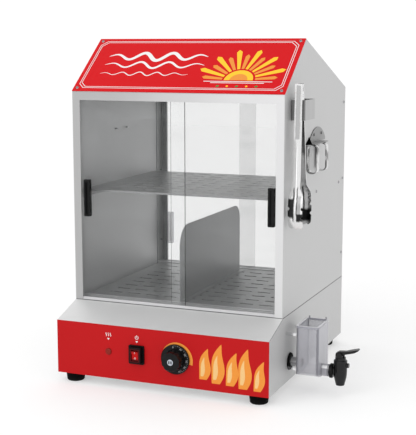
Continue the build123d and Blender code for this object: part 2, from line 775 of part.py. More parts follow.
with BuildPart() as tap_body:
    with BuildSketch(Plane(origin=(tap_x, tap_y, 0), x_dir=(1, 0, 0), z_dir=(0, -1, 0))):
        with BuildLine():
            Line((0, spout_bottom_z), (spout_r, spout_bottom_z))
            Spline((spout_r, spout_bottom_z), (tap_r - 1.2, spout_bottom_z + tap_swell_h / 2),
                   (tap_r, spout_bottom_z + tap_swell_h), tangents=((0.25, 1), (0, 1)))
            Line((tap_r, spout_bottom_z + tap_swell_h), (tap_r, tap_top_z))
            Line((tap_r, tap_top_z), (bonnet_r, tap_top_z))
            Line((bonnet_r, tap_top_z), (bonnet_r, tap_top_z + bonnet_h))
            Line((bonnet_r, tap_top_z + bonnet_h), (0, tap_top_z + bonnet_h))
            Line((0, tap_top_z + bonnet_h), (0, spout_bottom_z))
        make_face()
    revolve(axis=Axis((tap_x, tap_y, 0), (0, 0, 1)))
    fillet(tap_body.edges().filter_by(GeomType.CIRCLE).group_by(Axis.Z)[-2], radius=1.2)
    with BuildSketch(sideways(neck_x)):
        with Locations((tap_y, outlet_z)):
            Circle(neck_r)
    extrude(amount=tap_x - neck_x)
    with BuildSketch(sideways(tap_x)):
        with Locations((tap_y, vent_boss_z)):
            Circle(vent_boss_r)
    extrude(amount=vent_boss_l)
    # ears that hold the lever's pin
    with BuildSketch(upright(tap_y)):
        with BuildLine():
            Polyline((tap_x - ear_half_w, tap_top_z + bonnet_h - 1), (tap_x - ear_half_w, lever_pin_z),
                     (tap_x + ear_half_w, lever_pin_z), (tap_x + ear_half_w, tap_top_z + bonnet_h - 1),
                     close=True)
        make_face()
        with Locations((tap_x, lever_pin_z)):
            Circle(ear_round_r)
    extrude(amount=ear_gap / 2 + ear_t, both=True)
    block((tap_x - tap_r, tap_x + tap_r), (tap_y - ear_gap / 2, tap_y + ear_gap / 2),
          (tap_top_z + bonnet_h, lever_pin_z + 2 * ear_round_r), mode=Mode.SUBTRACT)
    with BuildSketch(upright(tap_y)):
        with Locations((tap_x, lever_pin_z)):
            Circle(lever_pin_r + running)
    extrude(amount=ear_gap, both=True, mode=Mode.SUBTRACT)
    # water way: neck, valve chamber, spout, stem hole
    with BuildSketch(sideways(neck_x)):
        with Locations((tap_y, outlet_z)):
            Circle(neck_bore_r)
    extrude(amount=tap_x - neck_x, mode=Mode.SUBTRACT)
    with BuildSketch(level(spout_bottom_z)):
        with Locations((tap_x, tap_y)):
            Circle(spout_bore_r)
    extrude(amount=spout_bore_l, mode=Mode.SUBTRACT)
    with BuildSketch(level(spout_bottom_z + spout_bore_l)):
        with Locations((tap_x, tap_y)):
            Circle(valve_chamber_r)
    extrude(amount=valve_chamber_top_z - spout_bottom_z - spout_bore_l, mode=Mode.SUBTRACT)
    with BuildSketch(level(valve_chamber_top_z)):
        with Locations((tap_x, tap_y)):
            Circle(stem_r + running)
    extrude(amount=tap_top_z + bonnet_h - valve_chamber_top_z, mode=Mode.SUBTRACT)
keep(tap_body, "tap_body")

valve_seat_z = spout_bottom_z + spout_bore_l
lever_under_z = lever_pin_z - 4.0
with BuildPart() as tap_plunger:
    with BuildSketch(level(valve_seat_z)):
        with Locations((tap_x, tap_y)):
            Circle(valve_r)
    extrude(amount=valve_t)
    chamfer(tap_plunger.edges().sort_by(Axis.Z)[-1], length=1)
    with BuildSketch(level(valve_seat_z + valve_t)):
        with Locations((tap_x, tap_y)):
            Circle(stem_r)
    extrude(amount=tap_top_z + bonnet_h - 3 - valve_seat_z - valve_t)
keep(tap_plunger, "tap_plunger")

with BuildPart() as tap_lever:
    with BuildSketch(upright(tap_y)) as lever_side:
        with BuildLine():
            Polyline((tap_x - 8.5, lever_under_z + 2), (tap_x - 7.5, lever_pin_z + 3.5),
                     (tap_x - 3, lever_pin_z + 6.2), (tap_x + 9, lever_pin_z + 7.2),
                     (lever_tip_x - 1.5, lever_tip_z), (lever_tip_x, lever_tip_z - 2.2),
                     (lever_tip_x - 7, lever_tip_z - 6.2), (tap_x + 10, lever_pin_z + 2.2),
                     (tap_x + 6, lever_pin_z - 0.5), (tap_x + 1.5, lever_under_z),
                     (tap_x - 5, lever_under_z), close=True)
        make_face()
    extrude(amount=paddle_w / 2, both=True)
    # seen from above the lever is narrow at its root and widens to a paddle
    with BuildSketch(level(lever_pin_z - 20)):
        with BuildLine():
            Polyline((tap_x - 12, tap_y - lever_w / 2), (tap_x + 10, tap_y - lever_w / 2),
                     (tap_x + 20, tap_y - paddle_w / 2), (lever_tip_x + 2, tap_y - paddle_w / 2),
                     (lever_tip_x + 2, tap_y + paddle_w / 2), (tap_x + 20, tap_y + paddle_w / 2),
                     (tap_x + 10, tap_y + lever_w / 2), (tap_x - 12, tap_y + lever_w / 2), close=True)
        make_face()
    extrude(amount=60, mode=Mode.INTERSECT)
    fillet(tap_lever.edges().filter_by(Axis.Z).sort_by(Axis.X)[-2:], radius=1)
    with BuildSketch(upright(tap_y)):
        with Locations((tap_x, lever_pin_z)):
            Circle(lever_pin_r)
    extrude(amount=ear_gap / 2 + ear_t, both=True)
keep(tap_lever, "tap_lever")

# ---------------------------------------------------------------- cabinet walls and roof
wall_screw_points = [(rear_screw_y, z) for z in rear_screw_zs]
wall_screw_points += [(y, rail_screw_z) for y in rail_screw_ys]
hook_screw_points = [(y, hook_screw_z) for y in hook_screw_ys]

sign_face = Plane(origin=(0, 0, eave_z), x_dir=(1, 0, 0),
                  z_dir=(0, -sin(front_pitch), cos(front_pitch)))
sign_l = hypot(ridge_y, ridge_rise)
sign_screw_points = [(x, y) for x in (-half_w + sign_screw_inset, half_w - sign_screw_inset)
                     for y in (sign_screw_inset, sign_l - sign_screw_inset)]

# the ridge's underside lies where the two slopes' undersides meet
ridge_lean = (front_pitch - rear_pitch) / 2
ridge_drop = sheet / cos((front_pitch + rear_pitch) / 2)
with BuildPart() as roof_sheet:
    with BuildSketch(sideways(-half_w)):
        with BuildLine():
            Polyline((0, eave_z), (ridge_y, ridge_z), (back_y, eave_z),
                     (back_y - sheet * sin(rear_pitch), eave_z - sheet * cos(rear_pitch)),
                     (ridge_y + ridge_drop * sin(ridge_lean), ridge_z - ridge_drop * cos(ridge_lean)),
                     (sheet * sin(front_pitch), eave_z - sheet * cos(front_pitch)), close=True)
        make_face()
    extrude(amount=cabinet_w)
    with BuildSketch(sign_face):
        with Locations(*sign_screw_points):
            Circle(screw_shank_r)
    extrude(amount=-2 * sheet, mode=Mode.SUBTRACT)
keep(roof_sheet, "roof_sheet")

with BuildPart() as sign_panel:
    with BuildSketch(sign_face):
        with Locations((0, sign_l / 2)):
            Rectangle(cabinet_w, sign_l)
        with Locations(*sign_screw_points):
            Circle(screw_shank_r, mode=Mode.SUBTRACT)
    extrude(amount=sign_t)
keep(sign_panel, "sign_panel")

with BuildPart() as sign_screws:
    with BuildSketch(sign_face.offset(sign_t)):
        with Locations(*sign_screw_points):
            Circle(screw_head_r)
    extrude(amount=screw_head_h, taper=25)
    with BuildSketch(sign_face.offset(sign_t)):
        with Locations(*sign_screw_points):
            Circle(screw_shank_r)
    extrude(amount=-screw_shank_l)
keep(sign_screws, "sign_screws")

for side, name in ((-1, "left_side_panel"), (1, "right_side_panel")):
    with BuildPart() as side_panel:
        with BuildSketch(sideways(inner_half_w if side > 0 else -half_w)):
            with BuildLine():
                Polyline((0, deck_z), (0, eave_z), (ridge_y, ridge_z), (back_y, eave_z), (back_y, deck_z),
                         close=True)
            make_face()
            with Locations(*(wall_screw_points + hook_screw_points)):
                Circle(screw_shank_r, mode=Mode.SUBTRACT)
        extrude(amount=sheet)
        add(roof_sheet.part, mode=Mode.SUBTRACT)
    keep(side_panel, name)

with BuildPart() as wall_screws:
    for side in (-1, 1):
        points = wall_screw_points + (hook_screw_points if side < 0 else [])
        outer_face = Plane(origin=(side * half_w, 0, 0), x_dir=(0, side, 0), z_dir=(side, 0, 0))
        with BuildSketch(outer_face):
            with Locations(*[(side * y, z) for y, z in points]):
                Circle(screw_head_r)
        extrude(amount=screw_head_h, taper=25)
        with BuildSketch(outer_face):
            with Locations(*[(side * y, z) for y, z in points]):
                Circle(screw_shank_r)
        extrude(amount=-screw_shank_l)
keep(wall_screws, "wall_screws")

# ---------------------------------------------------------------- door frames, tracks and doors
middle_plane = Plane.XZ.offset(-cabinet_d / 2)
grooves = (outer_groove_y, inner_groove_y)
groove_w = glass_t + 2 * groove_play


def door_header(pitch):
    """Front header: a face strip with a shelf under the roof, which holds the top track."""
    top_z = eave_z - sheet * cos(pitch)
    with BuildPart() as header:
        with BuildSketch(sideways(-inner_half_w)):
            with BuildLine():
                Polyline((0, lintel_z), (0, top_z), (track_d + sheet, top_z),
                         (track_d + sheet, top_z - sheet), (sheet, top_z - sheet), (sheet, lintel_z),
                         close=True)
            make_face()
        extrude(amount=2 * inner_half_w)
    return header


def top_track(pitch):
    """Double channel under the header, open downwards."""
    top_z = eave_z - sheet * cos(pitch) - sheet
    with BuildPart() as track:
        with BuildSketch(sideways(-inner_half_w)):
            with Locations((sheet + track_d / 2, (lintel_z + top_z) / 2)):
                Rectangle(track_d, top_z - lintel_z)
            with Locations(*[(y, lintel_z + top_groove_depth / 2) for y in grooves]):
                Rectangle(groove_w, top_groove_depth, mode=Mode.SUBTRACT)
        extrude(amount=2 * inner_half_w)
    return track


def bottom_track():
    """Double channel on the deck, open upwards; its front edge is the sill."""
    with BuildPart() as track:
        with BuildSketch(sideways(-inner_half_w + sheet)):
            with Locations((sheet + track_d / 2, deck_z + track_h / 2)):
                Rectangle(track_d, track_h)
            with Locations(*[(y, deck_z + track_h - groove_depth / 2) for y in grooves]):
                Rectangle(groove_w, groove_depth, mode=Mode.SUBTRACT)
        extrude(amount=2 * (inner_half_w - sheet))
        chamfer(track.edges().filter_by(Axis.X).sort_by(Axis.Y)[:2].sort_by(Axis.Z)[-1], length=1)
    return track


def stiles(screw_points):
    """Face strips beside the doorway, each with a return along the wall and a small lip."""
    stile_in = half_w - stile_w
    with BuildPart() as pair:
        with BuildSketch(level(deck_z)):
            with BuildLine():
                Polyline((stile_in, 0), (inner_half_w, 0), (inner_half_w, track_d + sheet),
                         (inner_half_w - sheet, track_d + sheet), (inner_half_w - sheet, sheet),
                         (stile_in + sheet, sheet), (stile_in + sheet, 5), (stile_in, 5), close=True)
            make_face()
            mirror(about=Plane.YZ)
        extrude(amount=lintel_z - deck_z)
        # the lip stops over the bottom track
        for x in (stile_in, -stile_in - sheet):
            block((x, x + sheet), (sheet, 5), (deck_z, deck_z + track_h), mode=Mode.SUBTRACT)
        if screw_points:
            with BuildSketch(sideways(-half_w)):
                with Locations(*screw_points):
                    Circle(screw_shank_r)
            extrude(amount=cabinet_w, mode=Mode.SUBTRACT)
    return pair


pane_half = half_w - stile_w + pane_behind_stile
pane_w = pane_half + pane_overlap / 2
pane_z0 = deck_z + track_h - groove_depth + pane_seat
pane_z1 = lintel_z + top_groove_depth - pane_lift


def pane(side, groove_y):
    """Glass door with its edges ground."""
    with BuildPart() as glass:
        with BuildSketch(upright(groove_y - glass_t / 2)):
            with Locations((side * (pane_half - pane_w / 2), (pane_z0 + pane_z1) / 2)):
                Rectangle(pane_w, pane_z1 - pane_z0)
        extrude(amount=-glass_t)
        chamfer(glass.edges().filter_by(Axis.Z), length=0.4)
    return glass


def handle(side, groove_y, from_stile, z):
    """Finger pull stuck on the outer face of a pane."""
    x = side * (half_w - stile_w - from_stile - handle_w / 2)
    face = Plane(origin=(x, groove_y - glass_t / 2, z), x_dir=(1, 0, 0), z_dir=(0, -1, 0))
    with BuildPart() as pull:
        with BuildSketch(face):
            RectangleRounded(handle_w, handle_h, 2)
        extrude(amount=handle_t)
        fillet(pull.faces().sort_by(Axis.Y)[0].edges(), radius=1.2)
        with BuildSketch(face.offset(handle_t)):
            SlotOverall(handle_h - 2 * handle_wall, handle_w - 2 * handle_wall, rotation=90)
        extrude(amount=-handle_cup_depth, mode=Mode.SUBTRACT)
    return pull


def behind(piece):
    """The same piece at the back of the cabinet."""
    with BuildPart() as copy:
        add(piece.part.mirror(middle_plane))
    return copy


rear_screw_points = [(cabinet_d - rear_screw_y, z) for z in rear_screw_zs]
keep(door_header(front_pitch), "front_header")
keep(stiles([]), "front_stiles")
keep(top_track(front_pitch), "front_top_track")
keep(bottom_track(), "front_bottom_track")
keep(behind(door_header(rear_pitch)), "rear_header")
keep(behind(stiles(rear_screw_points)), "rear_stiles")
keep(behind(top_track(rear_pitch)), "rear_top_track")
keep(behind(bottom_track()), "rear_bottom_track")
for side, groove_y, name in ((-1, outer_groove_y, "left"), (1, inner_groove_y, "right")):
    keep(pane(side, groove_y), "front_door_" + name)
    keep(handle(side, groove_y, front_handle_from_stile, front_handle_z), "front_handle_" + name)
    keep(behind(pane(side, groove_y)), "rear_door_" + name)
    rear_handle = handle(side, groove_y, rear_handle_from_stile, rear_handle_z)
    keep(behind(rear_handle), "rear_handle_" + name)

# ---------------------------------------------------------------- shelf, tray and divider
with BuildPart() as shelf_rails:
    with BuildSketch(upright(rail_y0)):
        with BuildLine():
            Polyline((inner_half_w, rail_z - rail_w), (inner_half_w, rail_z),
                     (inner_half_w - rail_w, rail_z), (inner_half_w - rail_w, rail_z - sheet),
                     (inner_half_w - sheet, rail_z - sheet), (inner_half_w - sheet, rail_z - rail_w),
                     close=True)
        make_face()
        mirror(about=Plane.YZ)
    extrude(amount=rail_y0 - rail_y1)
    with BuildSketch(sideways(-half_w)):
        with Locations(*[(y, rail_screw_z) for y in rail_screw_ys]):
            Circle(screw_shank_r)
    extrude(amount=cabinet_w, mode=Mode.SUBTRACT)
keep(shelf_rails, "shelf_rails")

slot_mid_y = (rail_y0 + rail_y1) / 2


def slots_along(length, slot, pitch):
    """How many slots fit along a plate: an odd number, so that one lies in its middle."""
    return 1 + 2 * int((length / 2 - slot_margin - slot / 2) // pitch)


with BuildPart() as bun_shelf:
    block((-inner_half_w + shelf_play, inner_half_w - shelf_play), (rail_y0 + 1, rail_y1 - 1),
          (rail_z, shelf_z))
    for y in (rail_y0 + 1, rail_y1 - 1 - sheet):
        block((-inner_half_w + rail_w + 1, inner_half_w - rail_w - 1), (y, y + sheet),
              (shelf_z - shelf_lip, rail_z))
    with BuildSketch(level(shelf_z)):
        with Locations((0, slot_mid_y)):
            with GridLocations(slot_pitch_x, slot_pitch_y,
                               slots_along(2 * (inner_half_w - rail_w), slot_l, slot_pitch_x),
                               slots_along(rail_y1 - rail_y0, slot_w, slot_pitch_y)):
                Rectangle(slot_l, slot_w)
    extrude(amount=-sheet, mode=Mode.SUBTRACT)
keep(bun_shelf, "bun_shelf")

tab_ys = (slot_mid_y - tab_rows * slot_pitch_y, slot_mid_y + tab_rows * slot_pitch_y)
with BuildPart() as sausage_tray:
    block((-tray_w / 2, tray_w / 2), (tray_y0, tray_y1), (deck_z, tray_z))
    block((-tray_w / 2 + sheet, tray_w / 2 - sheet), (tray_y0 + sheet, tray_y1 - sheet),
          (deck_z, tray_z - sheet), mode=Mode.SUBTRACT)
    with BuildSketch(level(tray_z)):
        with Locations((0, slot_mid_y)):
            with GridLocations(slot_pitch_x, slot_pitch_y, slots_along(tray_w, slot_l, slot_pitch_x),
                               slots_along(tray_y1 - tray_y0, slot_w, slot_pitch_y)):
                Rectangle(slot_l, slot_w)
        with Locations(*[(divider_x, y) for y in tab_ys]):
            Rectangle(sheet + 2 * tab_play, tab_l + 2 * tab_play)
    extrude(amount=-sheet, mode=Mode.SUBTRACT)
keep(sausage_tray, "sausage_tray")

divider_top_z = tray_z + divider_h
with BuildPart() as tray_divider:
    with BuildSketch(sideways(divider_x - sheet / 2)) as divider_side:
        with Locations(((divider_y0 + divider_y1) / 2, (tray_z + divider_top_z) / 2)):
            Rectangle(divider_y1 - divider_y0, divider_h)
        top_corners = divider_side.vertices().group_by(Axis.Y)[-1].sort_by(Axis.X)
        fillet(top_corners[0], radius=divider_front_r)
        fillet(divider_side.vertices().group_by(Axis.Y)[-1].sort_by(Axis.X)[-1], radius=divider_back_r)
        with Locations(*[(y, tray_z - tab_h / 2) for y in tab_ys]):
            Rectangle(tab_l, tab_h)
    extrude(amount=sheet)
    block((divider_x, divider_x + divider_foot), (divider_y0, divider_y1), (tray_z, tray_z + sheet))
keep(tray_divider, "tray_divider")

# ---------------------------------------------------------------- tongs and their bracket
bracket_face_x = half_w + bracket_out
near = bracket_y - bracket_t / 2
far = bracket_far_y + bracket_t / 2
with BuildPart() as tongs_bracket:
    with BuildSketch(level(bracket_z0)):
        with BuildLine():
            strap = FilletPolyline((half_w, near + bracket_foot), (half_w, near), (bracket_face_x, near),
                                   (bracket_face_x, far), (half_w, far), (half_w, far - bracket_foot),
                                   radius=bracket_bend_r)
            offset(strap, amount=bracket_t, side=Side.LEFT)
        make_face()
    extrude(amount=bracket_z1 - bracket_z0)
keep(tongs_bracket, "tongs_bracket")


def tongs_arm(arm_half_w):
    """The front arm, hanging straight: a channel with ears round the pin and a scalloped claw."""
    web_y = bracket_y - tongs_web
    tip_z = tongs_pin_z - tongs_below
    claw_z = tip_z + claw_l
    bow_z = tip_z + claw_l / 2
    with BuildPart() as arm:
        # web and claw in one strip, as wide as the claw
        with BuildSketch(sideways(tongs_x - claw_half_w)):
            with BuildLine():
                Line((web_y, tongs_pin_z + tongs_above), (web_y, claw_z))
                Spline((web_y, claw_z), (web_y - claw_bow, bow_z), (web_y + claw_hook, tip_z),
                       tangents=((0, -1), (0.55, -1)))
                Line((web_y + claw_hook, tip_z), (web_y + claw_hook + tongs_t, tip_z))
                Spline((web_y + claw_hook + tongs_t, tip_z), (web_y - claw_bow + tongs_t, bow_z),
                       (web_y + tongs_t, claw_z), tangents=((-0.55, 1), (0, 1)))
                Line((web_y + tongs_t, claw_z), (web_y + tongs_t, tongs_pin_z + tongs_above))
                Line((web_y + tongs_t, tongs_pin_z + tongs_above), (web_y, tongs_pin_z + tongs_above))
            make_face()
        extrude(amount=2 * claw_half_w)
        # outline seen from the front: narrow arm, wide claw with a toothed end
        with BuildSketch(upright(web_y - 4 * claw_bow)):
            with Locations((tongs_x, (claw_z + tongs_pin_z + tongs_above) / 2)):
                Rectangle(2 * arm_half_w, tongs_pin_z + tongs_above - claw_z)
            with BuildLine():
                Polyline((tongs_x - arm_half_w, claw_z), (tongs_x - claw_half_w, claw_z - claw_flare),
                         (tongs_x - claw_half_w, tip_z + claw_corner))
                RadiusArc((tongs_x - claw_half_w, tip_z + claw_corner),
                          (tongs_x - claw_half_w + claw_corner, tip_z), -claw_corner)
                Line((tongs_x - claw_half_w + claw_corner, tip_z),
                     (tongs_x + claw_half_w - claw_corner, tip_z))
                RadiusArc((tongs_x + claw_half_w - claw_corner, tip_z),
                          (tongs_x + claw_half_w, tip_z + claw_corner), -claw_corner)
                Polyline((tongs_x + claw_half_w, tip_z + claw_corner),
                         (tongs_x + claw_half_w, claw_z - claw_flare), (tongs_x + arm_half_w, claw_z),
                         (tongs_x - arm_half_w, claw_z))
            make_face()
            scallops = [(tongs_x + side * claw_half_w, tip_z + share * claw_l)
                        for side in (-1, 1) for share in scallop_shares]
            with Locations(*scallops):
                Circle(scallop_r, mode=Mode.SUBTRACT)
            with Locations((tongs_x - tooth_pitch / 2, tip_z), (tongs_x + tooth_pitch / 2, tip_z)):
                Circle(tooth_r, mode=Mode.SUBTRACT)
        extrude(amount=-8 * claw_bow - 2 * tongs_web, mode=Mode.INTERSECT)
        # side flanges, each with an ear round the pin
        for x in (tongs_x - arm_half_w, tongs_x + arm_half_w - tongs_t):
            with BuildSketch(sideways(x)) as flange:
                with BuildLine():
                    Polyline((web_y, tongs_pin_z + tongs_above),
                             (web_y + tongs_flange, tongs_pin_z + tongs_above - 3),
                             (web_y + tongs_flange, claw_z + 12), (web_y, claw_z), close=True)
                make_face()
                with Locations((bracket_y, tongs_pin_z)):
                    Circle(tongs_pin_rise)
                with Locations((bracket_y + tongs_ear + tongs_pin_rise, tongs_pin_z)):
                    Rectangle(2 * tongs_pin_rise, 4 * tongs_pin_rise, mode=Mode.SUBTRACT)
                with Locations((web_y - tongs_pin_rise, tongs_pin_z)):
                    Rectangle(2 * tongs_pin_rise, 4 * tongs_pin_rise, mode=Mode.SUBTRACT)
                with Locations((bracket_y, tongs_pin_z)):
                    Circle(tongs_pin_r + running, mode=Mode.SUBTRACT)
            extrude(amount=tongs_t)
    return arm


pin_line = Axis((tongs_x, bracket_y, tongs_pin_z), (1, 0, 0))
with BuildPart() as tongs_arm_left:
    add(tongs_arm(tongs_half_w).part.rotate(pin_line, -left_spread))
keep(tongs_arm_left, "tongs_arm_left")
with BuildPart() as tongs_arm_right:
    add(tongs_arm(tongs_inner_half_w).part.mirror(upright(bracket_y)).rotate(pin_line, right_spread))
keep(tongs_arm_right, "tongs_arm_right")

with BuildPart() as tongs_pin:
    with BuildSketch(sideways(tongs_x - tongs_half_w - pin_head_t)):
        with Locations((bracket_y, tongs_pin_z)):
            Circle(tongs_pin_r)
    extrude(amount=2 * tongs_half_w + 2 * pin_head_t)
    for x in (tongs_x - tongs_half_w - pin_head_t, tongs_x + tongs_half_w):
        with BuildSketch(sideways(x)):
            with Locations((bracket_y, tongs_pin_z)):
                Circle(pin_head_r)
        extrude(amount=pin_head_t)
keep(tongs_pin, "tongs_pin")

with BuildPart() as tongs_spring:
    for turn in (-1, 0, 1):
        with BuildSketch(sideways(tongs_x + turn * 2.2 * spring_wire_r)):
            with Locations((bracket_y, tongs_pin_z)):
                Circle(tongs_pin_r + 2 * spring_wire_r)
                Circle(tongs_pin_r, mode=Mode.SUBTRACT)
        extrude(amount=1.1 * spring_wire_r, both=True)
keep(tongs_spring, "tongs_spring")

# ---------------------------------------------------------------- hook
with BuildPart() as hook_plate:
    with BuildSketch(sideways(half_w)):
        with BuildLine():
            Line((hook_y0, hook_z0), (hook_y0, hook_z1 - hook_arch))
            ThreePointArc((hook_y0, hook_z1 - hook_arch), ((hook_y0 + hook_y1) / 2, hook_z1),
                          (hook_y1, hook_z1 - hook_arch))
            Line((hook_y1, hook_z1 - hook_arch), (hook_y1, hook_z0))
            Line((hook_y1, hook_z0), (hook_y0, hook_z0))
        make_face()
        with Locations(*hook_screw_points):
            Circle(screw_shank_r, mode=Mode.SUBTRACT)
    extrude(amount=hook_t)
    block((half_w, half_w + hook_ledge), (hook_ledge_y0, hook_ledge_y1), (hook_z0 - hook_t, hook_z0))
    fillet(hook_plate.edges().filter_by(Axis.Z).sort_by(Axis.X)[-2:], radius=3.5)
    with BuildSketch(upright(hook_ledge_y0 + hook_t)):
        with BuildLine():
            Polyline((half_w, hook_z0), (half_w + cheek_l / 2, hook_z0 + cheek_h),
                     (half_w + cheek_l, hook_z0), close=True)
        make_face()
    extrude(amount=hook_t)
keep(hook_plate, "hook_plate")

loop_x = half_w + hook_t + loop_gap + loop_w / 2
loop_z = hook_z0 - hook_t - loop_h / 2
with BuildPart() as hook_loops:
    for y in loop_ys:
        with BuildSketch(upright(y - loop_strip / 2)):
            with Locations((loop_x, loop_z)):
                RectangleRounded(loop_w, loop_h, loop_corner_r)
                RectangleRounded(loop_w - 2 * loop_t, loop_h - 2 * loop_t, loop_corner_r - loop_t,
                                 mode=Mode.SUBTRACT)
        extrude(amount=-loop_strip)
keep(hook_loops, "hook_loops")

with BuildPart() as hook_screws:
    with BuildSketch(sideways(half_w + hook_t)):
        with Locations(*hook_screw_points):
            Circle(screw_head_r)
    extrude(amount=screw_head_h, taper=25)
    with BuildSketch(sideways(half_w + hook_t)):
        with Locations(*hook_screw_points):
            Circle(screw_shank_r)
    extrude(amount=-screw_shank_l)
keep(hook_screws, "hook_screws")

# ---------------------------------------------------------------- hand over
boxes = [piece.part.bounding_box() for piece in pieces]
middle_x = (min(box.min.X for box in boxes) + max(box.max.X for box in boxes)) / 2
middle_y = (min(box.min.Y for box in boxes) + max(box.max.Y for box in boxes)) / 2
to_origin = Location((-round(middle_x, 3), -round(middle_y, 3), 0))
os.makedirs("parts", exist_ok=True)
for piece in pieces:
    placed = piece.part.moved(to_origin)
    placed.label = piece.part.label
    export_step(placed, "parts/" + placed.label + ".step")
print("moved to its origin by", -round(middle_x, 3), -round(middle_y, 3))
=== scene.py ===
import json
import math

import bmesh
import bpy
from mathutils import Matrix, Vector
from mathutils.bvhtree import BVHTree


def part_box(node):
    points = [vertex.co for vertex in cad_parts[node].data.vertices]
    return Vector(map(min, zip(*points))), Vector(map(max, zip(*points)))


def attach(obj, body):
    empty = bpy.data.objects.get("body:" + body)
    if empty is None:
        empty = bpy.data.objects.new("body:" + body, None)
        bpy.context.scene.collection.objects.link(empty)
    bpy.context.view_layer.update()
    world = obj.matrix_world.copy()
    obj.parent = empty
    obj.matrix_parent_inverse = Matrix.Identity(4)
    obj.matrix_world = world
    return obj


# The looks of a counter-top hot dog steamer around its CAD frame. Blender works in metres. The
# sizes here are in millimetres of the cabinet: x from its middle, y from its front, z from the table.

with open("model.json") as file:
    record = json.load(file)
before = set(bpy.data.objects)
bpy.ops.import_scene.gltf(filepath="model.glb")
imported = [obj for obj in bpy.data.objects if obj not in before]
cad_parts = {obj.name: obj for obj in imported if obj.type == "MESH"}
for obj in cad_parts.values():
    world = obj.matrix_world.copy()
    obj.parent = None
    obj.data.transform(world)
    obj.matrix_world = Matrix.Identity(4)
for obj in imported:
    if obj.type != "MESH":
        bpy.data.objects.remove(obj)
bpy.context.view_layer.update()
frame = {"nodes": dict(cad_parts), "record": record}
nodes = frame["nodes"]

MM = 0.001

# ------------ places read from the frame
left_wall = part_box("left_side_panel")
right_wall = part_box("right_side_panel")
middle_x = (left_wall[0].x + right_wall[1].x) / 2
front_y = right_wall[0].y


def at(x, y, z):
    """A place of the cabinet, in millimetres, as a point of the frame."""
    return Vector((middle_x + x * MM, front_y + y * MM, z * MM))


def from_frame(point):
    """A point of the frame as millimetres of the cabinet."""
    return Vector(((point.x - middle_x) / MM, (point.y - front_y) / MM, point.z / MM))


def extent(node):
    """Lowest and highest corner of a CAD node, in millimetres of the cabinet."""
    low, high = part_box(node)
    return from_frame(low), from_frame(high)


def middle(node):
    """Middle of a CAD node's box, in millimetres of the cabinet."""
    low, high = extent(node)
    return (low + high) / 2


wall_low, wall_high = extent("right_side_panel")
half_w = wall_high.x
cabinet_d = wall_high.y
deck_z = wall_low.z
ridge_z = extent("roof_sheet")[1].z
panel_low, panel_high = extent("front_panel")
knob_x = middle("thermostat_knob").x
control_z = middle("thermostat_knob").z
lamp_x = middle("indicator_lamp").x
switch_x = middle("switch_housing").x
rocker_low, rocker_high = extent("switch_rocker")
box_low, box_high = extent("level_box")
collar_low, collar_high = extent("tap_collar")
tongs_x = middle("tongs_arm_left").x
tip_z = extent("tongs_arm_left")[0].z

ridge_rise = 94.0     # ridge over the eave
ridge_y = 118.0       # ridge behind the front
sign_t = 1.5
spigot_l = 14.0       # from the water box's wall to the tap's collar
box_wall_x = collar_low.x - spigot_l
eave_z = ridge_z - ridge_rise
sign_l = math.hypot(ridge_rise, ridge_y)
sign_pitch = math.atan2(ridge_rise, ridge_y)


# ------------ faces that pieces lie on
def face(origin, right, up):
    """Matrix from a face's own millimetres (right, up, outwards) to the frame."""
    right = Vector(right).normalized()
    up = Vector(up).normalized()
    turn = Matrix((right, up, right.cross(up))).transposed().to_4x4()
    return Matrix.Translation(at(*origin)) @ turn @ Matrix.Scale(MM, 4)


def raised(where, height):
    """The same face, so many millimetres outwards."""
    return where @ Matrix.Translation((0, 0, height))


slope = (0, math.cos(sign_pitch), math.sin(sign_pitch))
sign_lift = Vector((0, -math.sin(sign_pitch), math.cos(sign_pitch))) * sign_t
panel_face = face((0, panel_low.y, 0), (1, 0, 0), (0, 0, 1))
sign_face = face((0, sign_lift.y, eave_z + sign_lift.z), (1, 0, 0), slope)
right_face = face((half_w, 0, 0), (0, 1, 0), (0, 0, 1))
left_face = face((-half_w, cabinet_d, 0), (0, -1, 0), (0, 0, 1))

# ------------ finishes
RED_PANEL = (0.46, 0.0055, 0.0075)
RED_SIGN = (0.60, 0.0055, 0.009)
ORANGE = (0.80, 0.29, 0.045)
PALE_ORANGE = (0.83, 0.53, 0.22)
GOLD = (0.93, 0.56, 0.03)
GREEN = (0.03, 0.26, 0.05)
WHITE = (0.80, 0.80, 0.80)

LEVEL_GRAIN = (0.02, 0.02, 1.6)     # waves in a millimetre: streaks that run level

finishes = {}


def grey(level):
    """Neutral colour."""
    return (level, level, level)


def scaled(colour, share):
    """Colour made darker or lighter by a factor."""
    return tuple(part * share for part in colour)


class Wire:
    """A number inside a node tree. Python's operators on it add Math nodes."""

    def __init__(self, tree, socket):
        self.tree = tree
        self.socket = socket

    def math(self, operation, *values):
        made = self.tree.node("ShaderNodeMath", dict(enumerate(values)), operation=operation)
        return Wire(self.tree, made.outputs[0])

    def __add__(self, other):
        return self.math("ADD", self, other)

    def __radd__(self, other):
        return self.math("ADD", other, self)

    def __sub__(self, other):
        return self.math("SUBTRACT", self, other)

    def __rsub__(self, other):
        return self.math("SUBTRACT", other, self)

    def __mul__(self, other):
        return self.math("MULTIPLY", self, other)

    def __rmul__(self, other):
        return self.math("MULTIPLY", other, self)

    def abs(self):
        return self.math("ABSOLUTE", self)

    def sine(self):
        return self.math("SINE", self)

    def cosine(self):
        return self.math("COSINE", self)

    def at_most(self, other):
        return self.math("MINIMUM", self, other)

    def within(self, low, high, soft):
        """1 between two values and 0 outside them, with soft sides."""
        return self.step(low - soft, low + soft) * (1 - self.step(high - soft, high + soft))

    def step(self, low, high):
        """0 below low, 1 above high, smooth between them."""
        made = self.tree.node("ShaderNodeMapRange", {"Value": self, "From Min": low, "From Max": high},
                              interpolation_type="SMOOTHSTEP")
        return Wire(self.tree, made.outputs["Result"])


